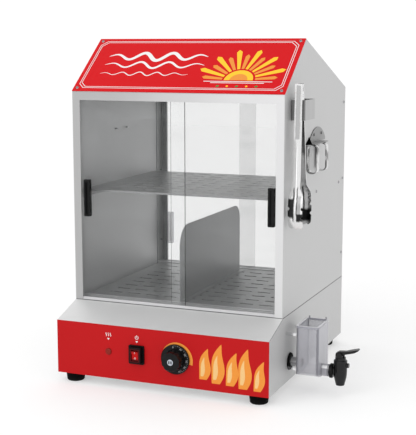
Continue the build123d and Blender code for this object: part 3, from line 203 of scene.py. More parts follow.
class Tree:
    """A node tree with one way to add a node: its type, its sockets, then its settings."""

    def __init__(self, tree):
        self.tree = tree
        self.tree.nodes.clear()

    def node(self, kind, sockets=None, **settings):
        made = self.tree.nodes.new(kind)
        for name, value in settings.items():
            setattr(made, name, value)
        for key, value in (sockets or {}).items():
            for one in value if isinstance(value, list) else [value]:
                if isinstance(one, Wire):
                    self.tree.links.new(one.socket, made.inputs[key])
                elif isinstance(one, bpy.types.NodeSocket):
                    self.tree.links.new(one, made.inputs[key])
                else:
                    made.inputs[key].default_value = one
        return made


class Finish(Tree):
    """A material with a Principled shader, patterned in the object's own millimetres."""

    def __init__(self, name):
        self.name = name
        self.material = bpy.data.materials.new(name)
        self.material.use_nodes = True
        super().__init__(self.material.node_tree)
        place = self.node("ShaderNodeTexCoord").outputs["Object"]
        made = self.node("ShaderNodeVectorMath", {0: place, "Scale": 1 / MM}, operation="SCALE")
        self.place = made.outputs[0]

    def numbers(self, vector):
        """The three numbers of a vector."""
        made = self.node("ShaderNodeSeparateXYZ", {0: vector})
        return [Wire(self, socket) for socket in made.outputs]

    def axes(self):
        """The point shaded, in millimetres of the cabinet."""
        corner = (middle_x / MM, front_y / MM, 0)
        moved = self.node("ShaderNodeVectorMath", {0: self.place, 1: corner}, operation="SUBTRACT")
        return self.numbers(moved.outputs[0])

    def side(self):
        """The surface's own normal, as three numbers."""
        return self.numbers(self.node("ShaderNodeTexCoord").outputs["Normal"])

    def noise(self, waves, detail=2.0):
        """Noise of 0 to 1 with this many waves in a millimetre, alike or along x, y and z."""
        waves = waves if isinstance(waves, tuple) else (waves, waves, waves)
        spread = self.node("ShaderNodeVectorMath", {0: self.place, 1: waves}, operation="MULTIPLY")
        made = self.node("ShaderNodeTexNoise", {"Vector": spread.outputs[0], "Scale": 1.0, "Detail": detail})
        return Wire(self, made.outputs["Fac"])

    def facing(self):
        """0 where the surface faces the eye and 1 where it is seen on edge."""
        made = self.node("ShaderNodeLayerWeight", {"Blend": 0.35})
        return Wire(self, made.outputs["Facing"])

    def mix(self, factor, a, b):
        """Colour a where factor is 0 and b where it is 1."""
        a = (*a, 1) if isinstance(a, tuple) else a
        b = (*b, 1) if isinstance(b, tuple) else b
        made = self.node("ShaderNodeMix", {0: factor, 6: a, 7: b}, data_type="RGBA")
        return made.outputs[2]

    def bump(self, height, depth, strength):
        """A normal from a height of 0 to 1 that is so many millimetres deep."""
        made = self.node("ShaderNodeBump", {"Height": height, "Distance": depth * MM, "Strength": strength})
        return made.outputs[0]

    def shine(self, **sockets):
        """Close with the Principled shader. Words of a socket's name are joined by _."""
        named = {name.replace("_", " "): value for name, value in sockets.items()}
        for name in ("Base Color", "Emission Color"):
            if isinstance(named.get(name), tuple):
                named[name] = (*named[name], 1)
        shader = self.node("ShaderNodeBsdfPrincipled", named)
        self.node("ShaderNodeOutputMaterial", {"Surface": shader.outputs[0]})
        finishes[self.name] = self.material


def grain_of(made, grain, depth=0.003):
    """Streaks of a brushed or rolled sheet, and the bump they give."""
    streak = made.noise(grain, 3.0)
    return streak, made.bump(streak, depth, strength=0.35)


def steel(name, colour, roughness, grain=LEVEL_GRAIN, cloud=0.05, metal=1.0, depth=0.004):
    """Rolled or brushed steel: fine grain, faint clouds of handling, and a soft sheen."""
    made = Finish(name)
    streak, normal = grain_of(made, grain, depth)
    haze = made.noise((0.011, 0.011, 0.007))
    smear = made.noise((0.05, 0.035, 0.02), 3.0).step(0.52, 0.78)
    dull = scaled(colour, 1 - 2 * cloud)
    tint = made.mix(0.35 * streak + 0.65 * haze, dull, colour)
    rough = roughness + 0.10 * (streak - 0.5) + 0.07 * smear
    made.shine(Base_Color=tint, Metallic=metal, Roughness=rough, Normal=normal)


def wall_steel(name, outside, inside):
    """Satin cabinet wall: pale outside; the face that looks inwards has painted shade, deeper towards the
    top, and is glossier where steam settles, with drips in its roughness.
    """
    made = Finish(name)
    streak, normal = grain_of(made, LEVEL_GRAIN)
    x, _, z = made.axes()
    nx, _, _ = made.side()
    painted_shade_side = 1 - (nx * x * 0.01).step(-0.4, 0.4)
    haze = made.noise((0.009, 0.009, 0.006))
    drips = made.noise((0.10, 0.10, 0.012), 3.0)
    # Painted shade on the face that looks inwards: a darker colour, deeper towards the top and uneven.
    film_and_painted_shade = made.mix(0.5 * haze + 0.5 * z.step(deck_z, eave_z), inside, scaled(inside, 0.88))
    tint = made.mix(0.3 * streak + 0.4 * haze, outside, scaled(outside, 0.97))
    tint = made.mix(painted_shade_side, tint, film_and_painted_shade)
    rough = 0.46 + 0.06 * (streak - 0.5) - 0.12 * painted_shade_side + 0.10 * painted_shade_side * drips
    made.shine(Base_Color=tint, Metallic=0.45, Roughness=rough, Normal=normal)


def door_frame_steel(name, left, right):
    """Bright door frame with a painted reflection: greyer towards the cabinet's left, near white towards its
    right.
    """
    made = Finish(name)
    streak, normal = grain_of(made, (0.02, 1.6, 1.6))
    x, _, _ = made.axes()
    across = x.step(-half_w, half_w)
    haze = made.noise((0.012, 0.02, 0.012))
    # Painted reflection: the colour runs from grey at the left to pale at the right.
    tint = made.mix(across + 0.25 * (haze - 0.5), left, right)
    rough = 0.40 + 0.10 * (streak - 0.5) + 0.08 * haze
    made.shine(Base_Color=tint, Metallic=0.35, Roughness=rough, Normal=normal)


def folded_steel(name, outside, inside, gloss=0.5):
    """Folded strip: painted shade on the faces that look to the front, lighter in streaky spots."""
    made = Finish(name)
    streak, normal = grain_of(made, (1.6, 1.6, 0.02))
    _, ny, _ = made.side()
    # Faces that look to the front get painted shade: the inside colour, lighter in streaky spots.
    painted_shade_side = 1 - ny.step(-0.4, 0.4)
    patchy_shade = made.noise((0.35, 0.35, 0.004)).step(0.44, 0.62)
    shade = made.mix(0.7 * patchy_shade, inside, scaled(inside, 1.9))
    tint = made.mix(painted_shade_side, outside, shade)
    made.shine(Base_Color=tint, Metallic=0.5, Roughness=0.38 + 0.10 * streak,
               Specular_IOR_Level=gloss, Normal=normal)


def casing_steel(name, sides, deck):
    """Base casing: satin sides, and painted light that makes the upward-facing slope lighter."""
    made = Finish(name)
    streak, normal = grain_of(made, LEVEL_GRAIN)
    _, _, nz = made.side()
    haze = made.noise((0.010, 0.010, 0.008))
    # Painted light: faces that look up take the lighter second colour.
    tint = made.mix(nz.step(0.2, 0.6), sides, deck)
    tint = made.mix(0.10 * haze, tint, grey(0.3))
    made.shine(Base_Color=tint, Metallic=0.3, Roughness=0.44 + 0.08 * streak, Normal=normal)


def mirror_steel(name, bright, dark, waves):
    """Polished wire or strip: painted reflections of light and dark parts of the room, in turn."""
    made = Finish(name)
    painted_reflections = made.noise(waves, 1.0).step(0.44, 0.58)
    scratch = made.noise((0.8, 0.8, 0.2), 3.0)
    # Painted reflections: bright and dark in turn.
    tint = made.mix(painted_reflections, bright, dark)
    made.shine(Base_Color=tint, Metallic=1.0, Roughness=0.12 + 0.10 * scratch,
               Normal=made.bump(scratch, 0.004, 0.3))


def arm_marks(made):
    """A tongs' arm as its polish reads: place across it, height over the tip, and streaks."""
    x, _, z = made.axes()
    drift = made.noise(0.12) - 0.5
    across = x - tongs_x + 2.4 * drift
    streak = made.noise((0.9, 0.9, 0.015))
    return across, z - tip_z + 6.0 * drift, streak


def arm_finish(made, tint, streak):
    """Polished steel of either arm."""
    made.shine(Base_Color=tint, Metallic=1.0, Roughness=0.13 + 0.10 * streak,
               Normal=made.bump(streak, 0.004, 0.3))


def front_arm_steel(name):
    """Front arm: painted shade in a long grey inset between bright rims and in grey areas of the arm, and a
    claw with near-black painted shadow in the hollow places by its rib.
    """
    made = Finish(name)
    across, rise, streak = arm_marks(made)
    # Painted shade: a grey inset and grey areas on the arm and claw.
    inset = across.within(-4.0, 4.0, 0.5) * rise.within(157, 248, 1.5)
    claw = rise.within(14, 72, 3.0)
    rib_side_shade = (across.within(-4.6, -2.6, 0.4) + across.within(1.6, 3.4, 0.4)) * claw
    left_hollow = across.within(-16.0, -4.0, 0.7) * rise.within(20, 54, 2.5)
    right_hollow = across.within(3.0, 16.0, 0.8) * rise.within(14, 28, 2.0)
    right_shade = across.within(3.4, 9.5, 0.8) * rise.within(24, 58, 3.0)
    left_shade = across.within(-9.0, -2.4, 0.8) * rise.within(54, 156, 5.0)
    tint = made.mix(0.45 * streak, grey(0.78), grey(0.60))
    tint = made.mix(0.75 * inset, tint, grey(0.36))
    tint = made.mix(0.7 * right_shade + 0.45 * left_shade, tint, grey(0.26))
    # Near-black painted shadow beside the rib and in the claw's hollow places.
    hollow_shade = (0.9 * rib_side_shade + left_hollow + right_hollow).at_most(1)
    tint = made.mix(hollow_shade, tint, grey(0.025))
    arm_finish(made, tint, streak)


def rear_arm_steel(name):
    """Rear arm: painted shade inside the channel, and a claw with a bright rim and near-black painted shadow
    in its hollow.
    """
    made = Finish(name)
    across, rise, streak = arm_marks(made)
    _, ny, _ = made.side()
    inner = 1 - ny.step(-0.4, 0.2)
    channel = inner * (rise.within(128, 210, 5.0) + 0.6 * rise.within(76, 128, 5.0))
    line = across.within(-2.4, 0.2, 0.4) * rise.within(30, 72, 3.0)
    hollow = across.within(-8.0, 12.0, 1.0) * rise.within(8, 30, 3.0)
    flank = across.within(7.0, 12.4, 0.8) * rise.within(30, 62, 3.0) * streak.step(0.42, 0.55)
    tint = made.mix(0.5 * streak, grey(1.0), grey(0.65))
    # Painted shade in the channel, and near-black painted shadow on the claw's line, hollow and flank.
    dark = (channel * (0.70 + 0.3 * streak) + inner * (line + hollow + flank)).at_most(1)
    arm_finish(made, made.mix(dark, tint, grey(0.02)), streak)


def paint(name, colour, roughness, gloss):
    """Enamel on sheet steel, with the faint orange peel of a sprayed coat."""
    made = Finish(name)
    peel = made.noise(0.45)
    drift = made.noise((0.008, 0.008, 0.01), 1.0)
    dust = made.noise(0.9, 4.0).step(0.68, 0.8)
    deep = scaled(colour, 0.95)
    tint = made.mix(drift, deep, colour)
    rough = roughness + 0.05 * (peel - 0.5) + 0.06 * dust
    made.shine(Base_Color=tint, Roughness=rough, Specular_IOR_Level=gloss,
               Normal=made.bump(peel, 0.02, 0.25))


def plastic(name, colour, roughness, grain, depth, gloss=0.12):
    """Moulded plastic with a fine grain and a few dull spots."""
    made = Finish(name)
    pitting = made.noise(grain, 3.0)
    worn = made.noise(0.07, 3.0).step(0.45, 0.75)
    pale = tuple(part * 1.35 + 0.003 for part in colour)
    tint = made.mix(0.6 * worn, colour, pale)
    rough = roughness + 0.12 * (worn - 0.5) + 0.06 * (pitting - 0.5)
    made.shine(Base_Color=tint, Roughness=rough, Specular_IOR_Level=gloss,
               Normal=made.bump(pitting, depth, 0.5))


def rubber(name):
    """Black rubber: dull, grained, and greyed by dust near the table."""
    made = Finish(name)
    grain = made.noise(1.2, 4.0)
    _, _, z = made.axes()
    dusty = (1 - z.step(1.0, 9.0)) * made.noise(0.3, 3.0)
    tint = made.mix(0.12 * dusty, grey(0.003), (0.08, 0.076, 0.07))
    made.shine(Base_Color=tint, Roughness=0.58 + 0.16 * grain, Specular_IOR_Level=0.03,
               Normal=made.bump(grain, 0.05, 0.6))


def glass(name, film_and_painted_shade, edge_alpha, face_tint=(0.80, 0.83, 0.83)):
    """Clear pane: a film and a faint sheen on its faces, and ground edges."""
    made = Finish(name)
    _, ny, _ = made.side()
    edge = 1 - ny.abs().step(0.45, 0.75)
    streaks = made.noise((0.01, 0.01, 0.045), 3.0).step(0.5, 0.8)
    haze = made.noise(0.02)
    tint = made.mix(edge, face_tint, (0.012, 0.018, 0.016))
    alpha = film_and_painted_shade * (1 - edge) + 0.04 * streaks * haze + edge_alpha * edge
    rough = 0.03 + 0.30 * edge + 0.05 * streaks
    made.shine(Base_Color=tint, Alpha=alpha, Roughness=rough, IOR=1.5, Specular_IOR_Level=0.4)


def clear_plastic(name):
    """Moulded clear plastic: milky, denser where it is seen on edge, with flow lines."""
    made = Finish(name)
    flow = made.noise((0.06, 0.06, 0.30), 3.0)
    milky = made.noise(0.035)
    tint = made.mix(milky, (0.36, 0.36, 0.41), (0.50, 0.50, 0.54))
    alpha = 0.26 + 0.12 * milky + 0.50 * made.facing()
    made.shine(Base_Color=tint, Alpha=alpha, Roughness=0.10 + 0.10 * flow, Coat_Weight=0.3,
               Normal=made.bump(flow, 0.06, 0.4))


def box_plastic(name):
    """Water box: milky, denser at its corners, painted shade that makes its right flank darker and denser,
    and a denser grey spigot to the tap with a painted highlight along its top.
    """
    made = Finish(name)
    x, _, _ = made.axes()
    nx, ny, nz = made.side()
    flow = made.noise((0.06, 0.06, 0.30), 3.0)
    milky = made.noise((0.05, 0.05, 0.02))
    corner = (nx * ny).abs().step(0.18, 0.42)
    # Painted shade: the right flank is drawn darker and denser.
    flank = nx.step(0.75, 0.95)
    spigot = x.step(box_wall_x + 0.2, box_wall_x + 0.8)
    # Painted highlight along the top of the spigot.
    painted_spigot_highlight = spigot * nz.within(0.50, 0.88, 0.10)
    near_cuff = spigot * (1 - x.step(box_wall_x + 1.6, box_wall_x + 2.2))
    cuff = x.step(collar_low.x - 3.6, collar_low.x - 3.0) + near_cuff
    tint = made.mix(milky, (0.44, 0.44, 0.48), (0.60, 0.60, 0.64))
    tint = made.mix(0.75 * corner, tint, (0.10, 0.10, 0.12))
    tint = made.mix(0.55 * flank, tint, (0.14, 0.14, 0.17))
    tint = made.mix(0.8 * cuff, tint, (0.06, 0.06, 0.07))
    tint = made.mix(0.6 * spigot, tint, (0.22, 0.22, 0.24))
    tint = made.mix(painted_spigot_highlight * (1 - 0.7 * cuff), tint, (0.95, 0.95, 0.96))
    alpha = 0.28 + 0.12 * milky + 0.42 * made.facing() + 0.30 * corner
    alpha = (alpha + 0.45 * spigot + 0.42 * flank).at_most(1)
    made.shine(Base_Color=tint, Alpha=alpha, Roughness=0.08 + 0.08 * flow,
               Coat_Weight=0.35, Normal=made.bump(flow, 0.06, 0.4))


def peg_plastic(name):
    """Clear pegs: their far ends vanish against the wall, and their roots at the box are bright."""
    made = Finish(name)
    x, _, _ = made.axes()
    root = x.step(box_low.x - 9.0, box_low.x - 5.0)
    cloudy = made.noise(0.3)
    tint = made.mix(root, (0.40, 0.40, 0.42), (0.92, 0.92, 0.93))
    made.shine(Base_Color=tint, Alpha=0.07 + 0.80 * root + 0.08 * cloudy, Roughness=0.12,
               Normal=made.bump(cloudy, 0.05, 0.4))


def rim_plastic(name):
    """Thick moulded rim of the water box: greyer and glossier than its walls, with painted highlight on its
    upward faces.
    """
    made = Finish(name)
    _, _, nz = made.side()
    cloudy = made.noise((0.08, 0.08, 0.3))
    # Painted highlight: faces that look up are much lighter.
    tint = made.mix(nz.step(0.3, 0.8), (0.34, 0.34, 0.38), (0.82, 0.82, 0.86))
    made.shine(Base_Color=tint, Alpha=0.72 + 0.12 * cloudy, Roughness=0.07 + 0.06 * cloudy,
               Coat_Weight=0.6, Normal=made.bump(cloudy, 0.03, 0.3))


def lit_rocker(name, colour, rim, glow, strength):
    """Rocker lit from inside: bright in its middle and dark red towards its frame."""
    made = Finish(name)
    x, _, z = made.axes()
    half_u = (rocker_high.x - rocker_low.x) / 2
    half_v = (rocker_high.z - rocker_low.z) / 2
    across = ((x - switch_x) * (1 / half_u)).abs().step(0.50, 1.05)
    upward = ((z - control_z) * (1 / half_v)).abs().step(0.55, 1.05)
    core = (1 - across) * (1 - upward)
    ripple = made.noise(0.6, 3.0)
    made.shine(Base_Color=made.mix(core, rim, colour), Roughness=0.22 + 0.10 * ripple,
               Specular_IOR_Level=0.12, Emission_Color=made.mix(core, grey(0.0), glow),
               Emission_Strength=strength, Normal=made.bump(ripple, 0.02, 0.3))


def housing_plastic(name, colour, glow):
    """Black switch housing, with the lit rocker's red light painted around its pit."""
    made = Finish(name)
    x, _, z = made.axes()
    across = 1 - (x - switch_x).abs().step(7.5, 11.0)
    upward = 1 - (z - control_z).abs().step(10.0, 13.5)
    pitting = made.noise(1.6, 3.0)
    # Painted light: a red glow around the rocker's pit.
    made.shine(Base_Color=made.mix(across * upward, colour, glow), Roughness=0.24 + 0.08 * pitting,
               Specular_IOR_Level=0.10, Normal=made.bump(pitting, 0.02, 0.5))


def lens(name, colour, glow, strength):
    """Coloured lens that glows a little, with a core that is brighter than its rim."""
    made = Finish(name)
    ripple = made.noise((0.35, 0.35, 0.5), 3.0)
    core = made.noise(0.09)
    deep = scaled(colour, 0.7)
    tint = made.mix(core, deep, colour)
    made.shine(Base_Color=tint, Roughness=0.16 + 0.10 * ripple, Specular_IOR_Level=0.2,
               Emission_Color=made.mix(core, scaled(glow, 0.5), glow),
               Emission_Strength=strength, Normal=made.bump(ripple, 0.03, 0.3))


def ink(name, colour, roughness=0.38):
    """Screen print: nearly even, with the faint mottle of an ink film."""
    made = Finish(name)
    mottle = made.noise(0.35, 4.0)
    thin = scaled(colour, 0.9)
    made.shine(Base_Color=made.mix(mottle, thin, colour), Roughness=roughness + 0.08 * mottle,
               Specular_IOR_Level=0.12, Normal=made.bump(mottle, 0.01, 0.2))


def heater_steel(name):
    """Immersion heater's sheath, tinted straw to blue by heat."""
    made = Finish(name)
    heat = made.noise(0.02, 3.0)
    scale = made.noise(0.5, 4.0).step(0.45, 0.7)
    tint = made.mix(heat, (0.30, 0.24, 0.17), (0.22, 0.23, 0.29))
    tint = made.mix(0.5 * scale, tint, (0.5, 0.5, 0.48))
    made.shine(Base_Color=tint, Metallic=0.85, Roughness=0.35 + 0.3 * scale,
               Normal=made.bump(scale, 0.05, 0.5))


steel("satin_steel", grey(0.53), 0.50, cloud=0.03, metal=0.3, depth=0.003)
steel("dark_steel", grey(0.11), 0.30)
steel("inner_steel", (0.26, 0.262, 0.265), 0.36, (1.2, 0.02, 0.02), 0.07, 0.6)
steel("bright_steel", (0.74, 0.74, 0.75), 0.12, (0.3, 0.3, 0.05), 0.04, 1.0, 0.002)
steel("track_aluminium", (0.62, 0.62, 0.63), 0.36, (0.02, 1.5, 1.5), metal=0.6)
steel("plated_steel", (0.36, 0.36, 0.37), 0.26, 0.4)
steel("silver_cap", (0.52, 0.56, 0.62), 0.28, 1.5, 0.03)
# Cabinet walls: the second colour is painted shade for the face that looks inwards.
wall_steel("wall_steel", grey(0.52), (0.46, 0.462, 0.465))
# Door frame: painted reflection from grey at the left to pale at the right.
door_frame_steel("door_frame_steel", grey(0.385), (0.625, 0.625, 0.63))
# Folded strips: the second colour is painted shade on faces that look to the front; on the hook it is
# near-black painted shadow.
folded_steel("rear_frame_steel", grey(0.52), (0.085, 0.087, 0.09))
folded_steel("bracket_steel", grey(0.68), grey(0.13))
folded_steel("hook_steel", grey(0.60), grey(0.002), 0.04)
mirror_steel("loop_steel", grey(0.66), grey(0.13), (0.05, 0.07, 0.045))
casing_steel("casing_steel", grey(0.515), grey(0.72))
front_arm_steel("front_arm_steel")
rear_arm_steel("rear_arm_steel")
heater_steel("heater_steel")
paint("red_panel", RED_PANEL, 0.42, 0.12)
paint("red_sign", RED_SIGN, 0.40, 0.07)
rubber("black_rubber")
plastic("black_plastic", (0.005, 0.005, 0.0055), 0.22, 1.6, 0.02, 0.16)
plastic("tap_plastic", (0.006, 0.006, 0.0065), 0.15, 1.6, 0.01, 0.30)
plastic("white_plastic", (0.74, 0.73, 0.70), 0.5, 1.2, 0.03, 0.4)
plastic("dark_line", (0.03, 0.03, 0.032), 0.6, 1.0, 0.01)
housing_plastic("housing_plastic", (0.004, 0.004, 0.0045), (0.075, 0.002, 0.003))
lit_rocker("red_rocker", (0.36, 0.003, 0.003), (0.04, 0.002, 0.003), (1.0, 0.008, 0.008), 0.12)
lens("amber_lamp", (0.24, 0.014, 0.008), (0.35, 0.03, 0.012), 0.05)
box_plastic("box_plastic")
peg_plastic("peg_plastic")
rim_plastic("rim_plastic")
clear_plastic("clear_plastic")
glass("door_glass", 0.03, 0.95)
glass("thin_edge_glass", 0.03, 0.45)
glass("rear_glass", 0.11, 0.16, (0.30, 0.31, 0.32))
ink("white_ink", WHITE)
ink("orange_ink", ORANGE)
ink("pale_orange_ink", PALE_ORANGE)
ink("gold_ink", GOLD)
ink("green_ink", GREEN)
ink("dial_ink", grey(0.42))

# Nodes whose finish is more than their slot says.
worn_by = {"door_frame_steel": ("front_header", "front_stiles"),
           "rear_frame_steel": ("rear_header", "rear_stiles"),
           "wall_steel": ("left_side_panel", "right_side_panel"),
           "casing_steel": ("base_shell",), "bracket_steel": ("tongs_bracket",),
           "hook_steel": ("hook_plate",), "loop_steel": ("hook_loops",), "dark_steel": ("hook_screws",),
           "front_arm_steel": ("tongs_arm_left",), "rear_arm_steel": ("tongs_arm_right",),
           "tap_plastic": ("tap_body", "tap_lever"), "housing_plastic": ("switch_housing",),
           "box_plastic": ("level_box",), "peg_plastic": ("level_box_pegs",),
           "thin_edge_glass": ("front_door_right",), "rear_glass": ("rear_door_left", "rear_door_right")}
own_finish = {node: finish for finish, group in worn_by.items() for node in group}
slot_of = {row["node"]: row["material_slot"] for row in frame["record"]["subparts"]}
for name, node in nodes.items():
    node.data.materials.clear()
    node.data.materials.append(finishes[own_finish.get(name, slot_of[name])])


# ------------ making pieces
def linked(name, data):
    """A new object of the scene."""
    made = bpy.data.objects.new(name, data)
    bpy.context.scene.collection.objects.link(made)
    return made


def piece(name, mesh, finish, body="cabinet"):
    """An object from a mesh whose points are already in the frame; it rides on a body."""
    mesh.materials.clear()
    mesh.materials.append(finishes[finish])
    made = linked(name, mesh)
    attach(made, body)


def flattened(source):
    """A plain mesh of an object as its modifiers leave it. The object is removed."""
    bpy.context.view_layer.update()
    shown = source.evaluated_get(bpy.context.evaluated_depsgraph_get())
    mesh = bpy.data.meshes.new_from_object(shown)
    bpy.data.objects.remove(source)
    return mesh


def plate_mesh(outlines, thick, where):
    """Flat shape of closed outlines, a loop inside another being a hole, laid on a face."""
    curve = bpy.data.curves.new("outline", "CURVE")
    curve.dimensions = "2D"
    curve.fill_mode = "BOTH"
    curve.extrude = thick / 2
    for outline in outlines:
        spline = curve.splines.new("POLY")
        spline.points.add(len(outline) - 1)
        for point, (u, v) in zip(spline.points, outline):
            point.co = (u, v, 0, 1)
        spline.use_cyclic_u = True
    mesh = flattened(linked("outline", curve))
    mesh.transform(raised(where, thick / 2))
    mesh.update()
    return mesh


def text_mesh(words, height, thick, where):
    """Plain numerals, centred, laid on a face."""
    curve = bpy.data.curves.new("numeral", "FONT")
    curve.body = words
    curve.size = height
    curve.align_x = "CENTER"
    curve.align_y = "CENTER"
    curve.extrude = thick / 2
    mesh = flattened(linked("numeral", curve))
    mesh.transform(raised(where, thick / 2))
    return mesh


def joined(meshes):
    """One mesh from several."""
    total = bmesh.new()
    for mesh in meshes:
        total.from_mesh(mesh)
    made = bpy.data.meshes.new("joined")
    total.to_mesh(made)
    total.free()
    return made


class Pattern(Tree):
    """A Geometry Nodes tree with named inputs. It ends in real faces of one material."""

    def __init__(self, name, **sizes):
        self.group = bpy.data.node_groups.new(name, "GeometryNodeTree")
        super().__init__(self.group)
        sockets = self.group.interface
        sockets.new_socket("Geometry", in_out="INPUT", socket_type="NodeSocketGeometry")
        for label, value in sizes.items():
            kind = "NodeSocketInt" if isinstance(value, int) else "NodeSocketFloat"
            sockets.new_socket(label, in_out="INPUT", socket_type=kind).default_value = value
        sockets.new_socket("Material", in_out="INPUT", socket_type="NodeSocketMaterial")
        sockets.new_socket("Geometry", in_out="OUTPUT", socket_type="NodeSocketGeometry")
        self.entry = self.node("NodeGroupInput").outputs

    def size(self, label):
        return Wire(self, self.entry[label])

    def put(self, kind, sockets=None):
        return self.node(kind, sockets).outputs[0]

    def vector(self, x, y, z):
        return self.put("ShaderNodeCombineXYZ", {0: x, 1: y, 2: z})

    def close(self, shape):
        real = self.put("GeometryNodeRealizeInstances", {"Geometry": shape})
        dressed = self.put("GeometryNodeSetMaterial", {"Geometry": real, "Material": self.entry["Material"]})
        self.node("NodeGroupOutput", {"Geometry": dressed})
        return self.group


def spokes_pattern():
    """Bars set like spokes: Count of them, Step apart, the first at the angle Start."""
    tree = Pattern("spokes", Count=12, Start=0.0, Step=0.1, Radius=10.0,
                   Along=2.0, Across=0.5, Thick=0.5)
    number = Wire(tree, tree.put("GeometryNodeInputIndex"))
    turn = tree.size("Start") + number * tree.size("Step")
    place = tree.vector(tree.size("Radius") * turn.sine(),
                        tree.size("Radius") * turn.cosine(), 0.0)
    line = tree.put("GeometryNodeMeshLine", {"Count": tree.entry["Count"]})
    spread = tree.put("GeometryNodeSetPosition", {"Geometry": line, "Position": place})
    bar_size = tree.vector(tree.entry["Across"], tree.entry["Along"], tree.entry["Thick"])
    bar = tree.put("GeometryNodeMeshCube", {"Size": bar_size})
    lean = tree.vector(0.0, 0.0, 0 - turn)
    sockets = {"Points": spread, "Instance": bar, "Rotation": lean}
    return tree.close(tree.put("GeometryNodeInstanceOnPoints", sockets))


def recess_pattern():
    """Dark cross of painted shade for a screw's recess on every point, each turned by chance."""
    tree = Pattern("cross_recesses", Length=3.2, Width=0.7, Depth=0.1, Seed=3)
    spin = tree.node("FunctionNodeRandomValue", {2: 0.0, 3: math.pi / 2, 8: tree.entry["Seed"]},
                     data_type="FLOAT").outputs[1]
    turned = tree.vector(0.0, 0.0, spin)
    crosses = []
    for along, across in (("Length", "Width"), ("Width", "Length")):
        bar_size = tree.vector(tree.entry[along], tree.entry[across], tree.entry["Depth"])
        bar = tree.put("GeometryNodeMeshCube", {"Size": bar_size})
        sockets = {"Points": tree.entry["Geometry"], "Instance": bar, "Rotation": turned}
        crosses.append(tree.put("GeometryNodeInstanceOnPoints", sockets))
    return tree.close(tree.put("GeometryNodeJoinGeometry", {"Geometry": crosses}))


spokes = spokes_pattern()
cross_recesses = recess_pattern()


def grown(pattern, points, finish, where, **sizes):
    """Plain mesh that a pattern makes on points of a face, laid in the frame."""
    start = bpy.data.meshes.new("points")
    start.from_pydata([(u, v, 0) for u, v in points], [], [])
    source = linked("pattern", start)
    modifier = source.modifiers.new("pattern", "NODES")
    modifier.node_group = pattern
    sizes["Material"] = finishes[finish]
    for socket in pattern.interface.items_tree:
        if socket.in_out == "INPUT" and socket.name in sizes:
            modifier[socket.identifier] = sizes[socket.name]
    mesh = flattened(source)
    mesh.transform(where)
    return mesh


look_from = 400.0     # well before the front


def landing(node, x, z):
    """Where a straight look from the front meets a CAD node, and the surface's normal there."""
    tree = BVHTree.FromObject(nodes[node], bpy.context.evaluated_depsgraph_get())
    point, normal, _, _ = tree.ray_cast(at(x, -look_from, z), Vector((0, 1, 0)))
    return from_frame(point), normal


def bead_mesh(route, width, height, samples=8, end_swell=0.15, run_out=8):
    """Half-round bead along points that face the front; it runs out at both ends."""
    made = bmesh.new()
    rows = []
    last = len(route) - 1
    for index, point in enumerate(route):
        share = index / last
        swell = min(1.0, end_swell + run_out * share, end_swell + run_out * (1 - share))
        row = []
        for step in range(samples + 1):
            turn = math.pi * step / samples
            lift = (-width / 2 * math.cos(turn) * swell, -height * math.sin(turn) * swell, 0)
            row.append(made.verts.new(at(*(point + Vector(lift)))))
        rows.append(row)
    for upper, lower in zip(rows, rows[1:]):
        for index in range(samples + 1):
            other = (index + 1) % (samples + 1)
            made.faces.new((upper[index], upper[other], lower[other], lower[index]))
    made.faces.new(rows[0])
    made.faces.new(rows[-1])
    bmesh.ops.recalc_face_normals(made, faces=made.faces)
    mesh = bpy.data.meshes.new("bead")
    made.to_mesh(mesh)
    made.free()
    return mesh


def soft_rectangle(low_u, low_v, high_u, high_v, radius, steps=6):
    """Closed rectangle with round corners."""
    outline = []
    corners = ((high_u - radius, high_v - radius, 0), (low_u + radius, high_v - radius, 90),
               (low_u + radius, low_v + radius, 180), (high_u - radius, low_v + radius, 270))
    for u, v, start in corners:
        for step in range(steps + 1):
            turn = math.radians(start + 90 * step / steps)
            outline.append((u + radius * math.cos(turn), v + radius * math.sin(turn)))
    return outline


def ring(radius, count=48, centre=(0, 0), squash=1.0, turn=0.0):
    """Closed round outline, an ellipse where squash isn't 1."""
    points = []
    for step in range(count):
        angle = 2 * math.pi * step / count
        u, v = radius * math.cos(angle), radius * squash * math.sin(angle)
        points.append((centre[0] + u * math.cos(turn) - v * math.sin(turn),
                       centre[1] + u * math.sin(turn) + v * math.cos(turn)))
    return points


def band(route, width):
    """Closed outline along an open route; width is a number or a function of 0 to 1."""
    left, right = [], []
    last = len(route) - 1
    for index, (u, v) in enumerate(route):
        before, after = route[max(index - 1, 0)], route[min(index + 1, last)]
        du, dv = after[0] - before[0], after[1] - before[1]
        length = math.hypot(du, dv)
        half = (width(index / last) if callable(width) else width) / 2
        left.append((u - dv / length * half, v + du / length * half))
        right.append((u + dv / length * half, v - du / length * half))
    return left + right[::-1]


def cut_corners(half_u, low_v, high_v, cut):
    """Rectangle about u = 0 with its four corners cut off."""
    short_u, short_low, short_high = half_u - cut, low_v + cut, high_v - cut
    return [(-short_u, low_v), (short_u, low_v), (half_u, short_low), (half_u, short_high),
            (short_u, high_v), (-short_u, high_v), (-half_u, short_high), (-half_u, short_low)]


def bar_outline(u, half_u, half_v):
    """Upright bar about v = 0."""
    return [(u - half_u, -half_v), (u + half_u, -half_v), (u + half_u, half_v), (u - half_u, half_v)]


def clock_point(u, v, radius, turn):
    """Point at a distance from another, at a clock angle."""
    return (u + radius * math.sin(turn), v + radius * math.cos(turn))


ink_t = 0.12


def printed(name, shapes, finish, where, body="cabinet"):
    """Thin films on a face. A shape is its outline and the holes in it."""
    films = [plate_mesh(shape, ink_t, where) for shape in shapes]
    piece(name, joined(films), finish, body)


# ------------ sign: border, waves and sun
def sign_print(name, shapes, finish, where=sign_face):
    """Print on the sign."""
    printed(name, shapes, finish, where)


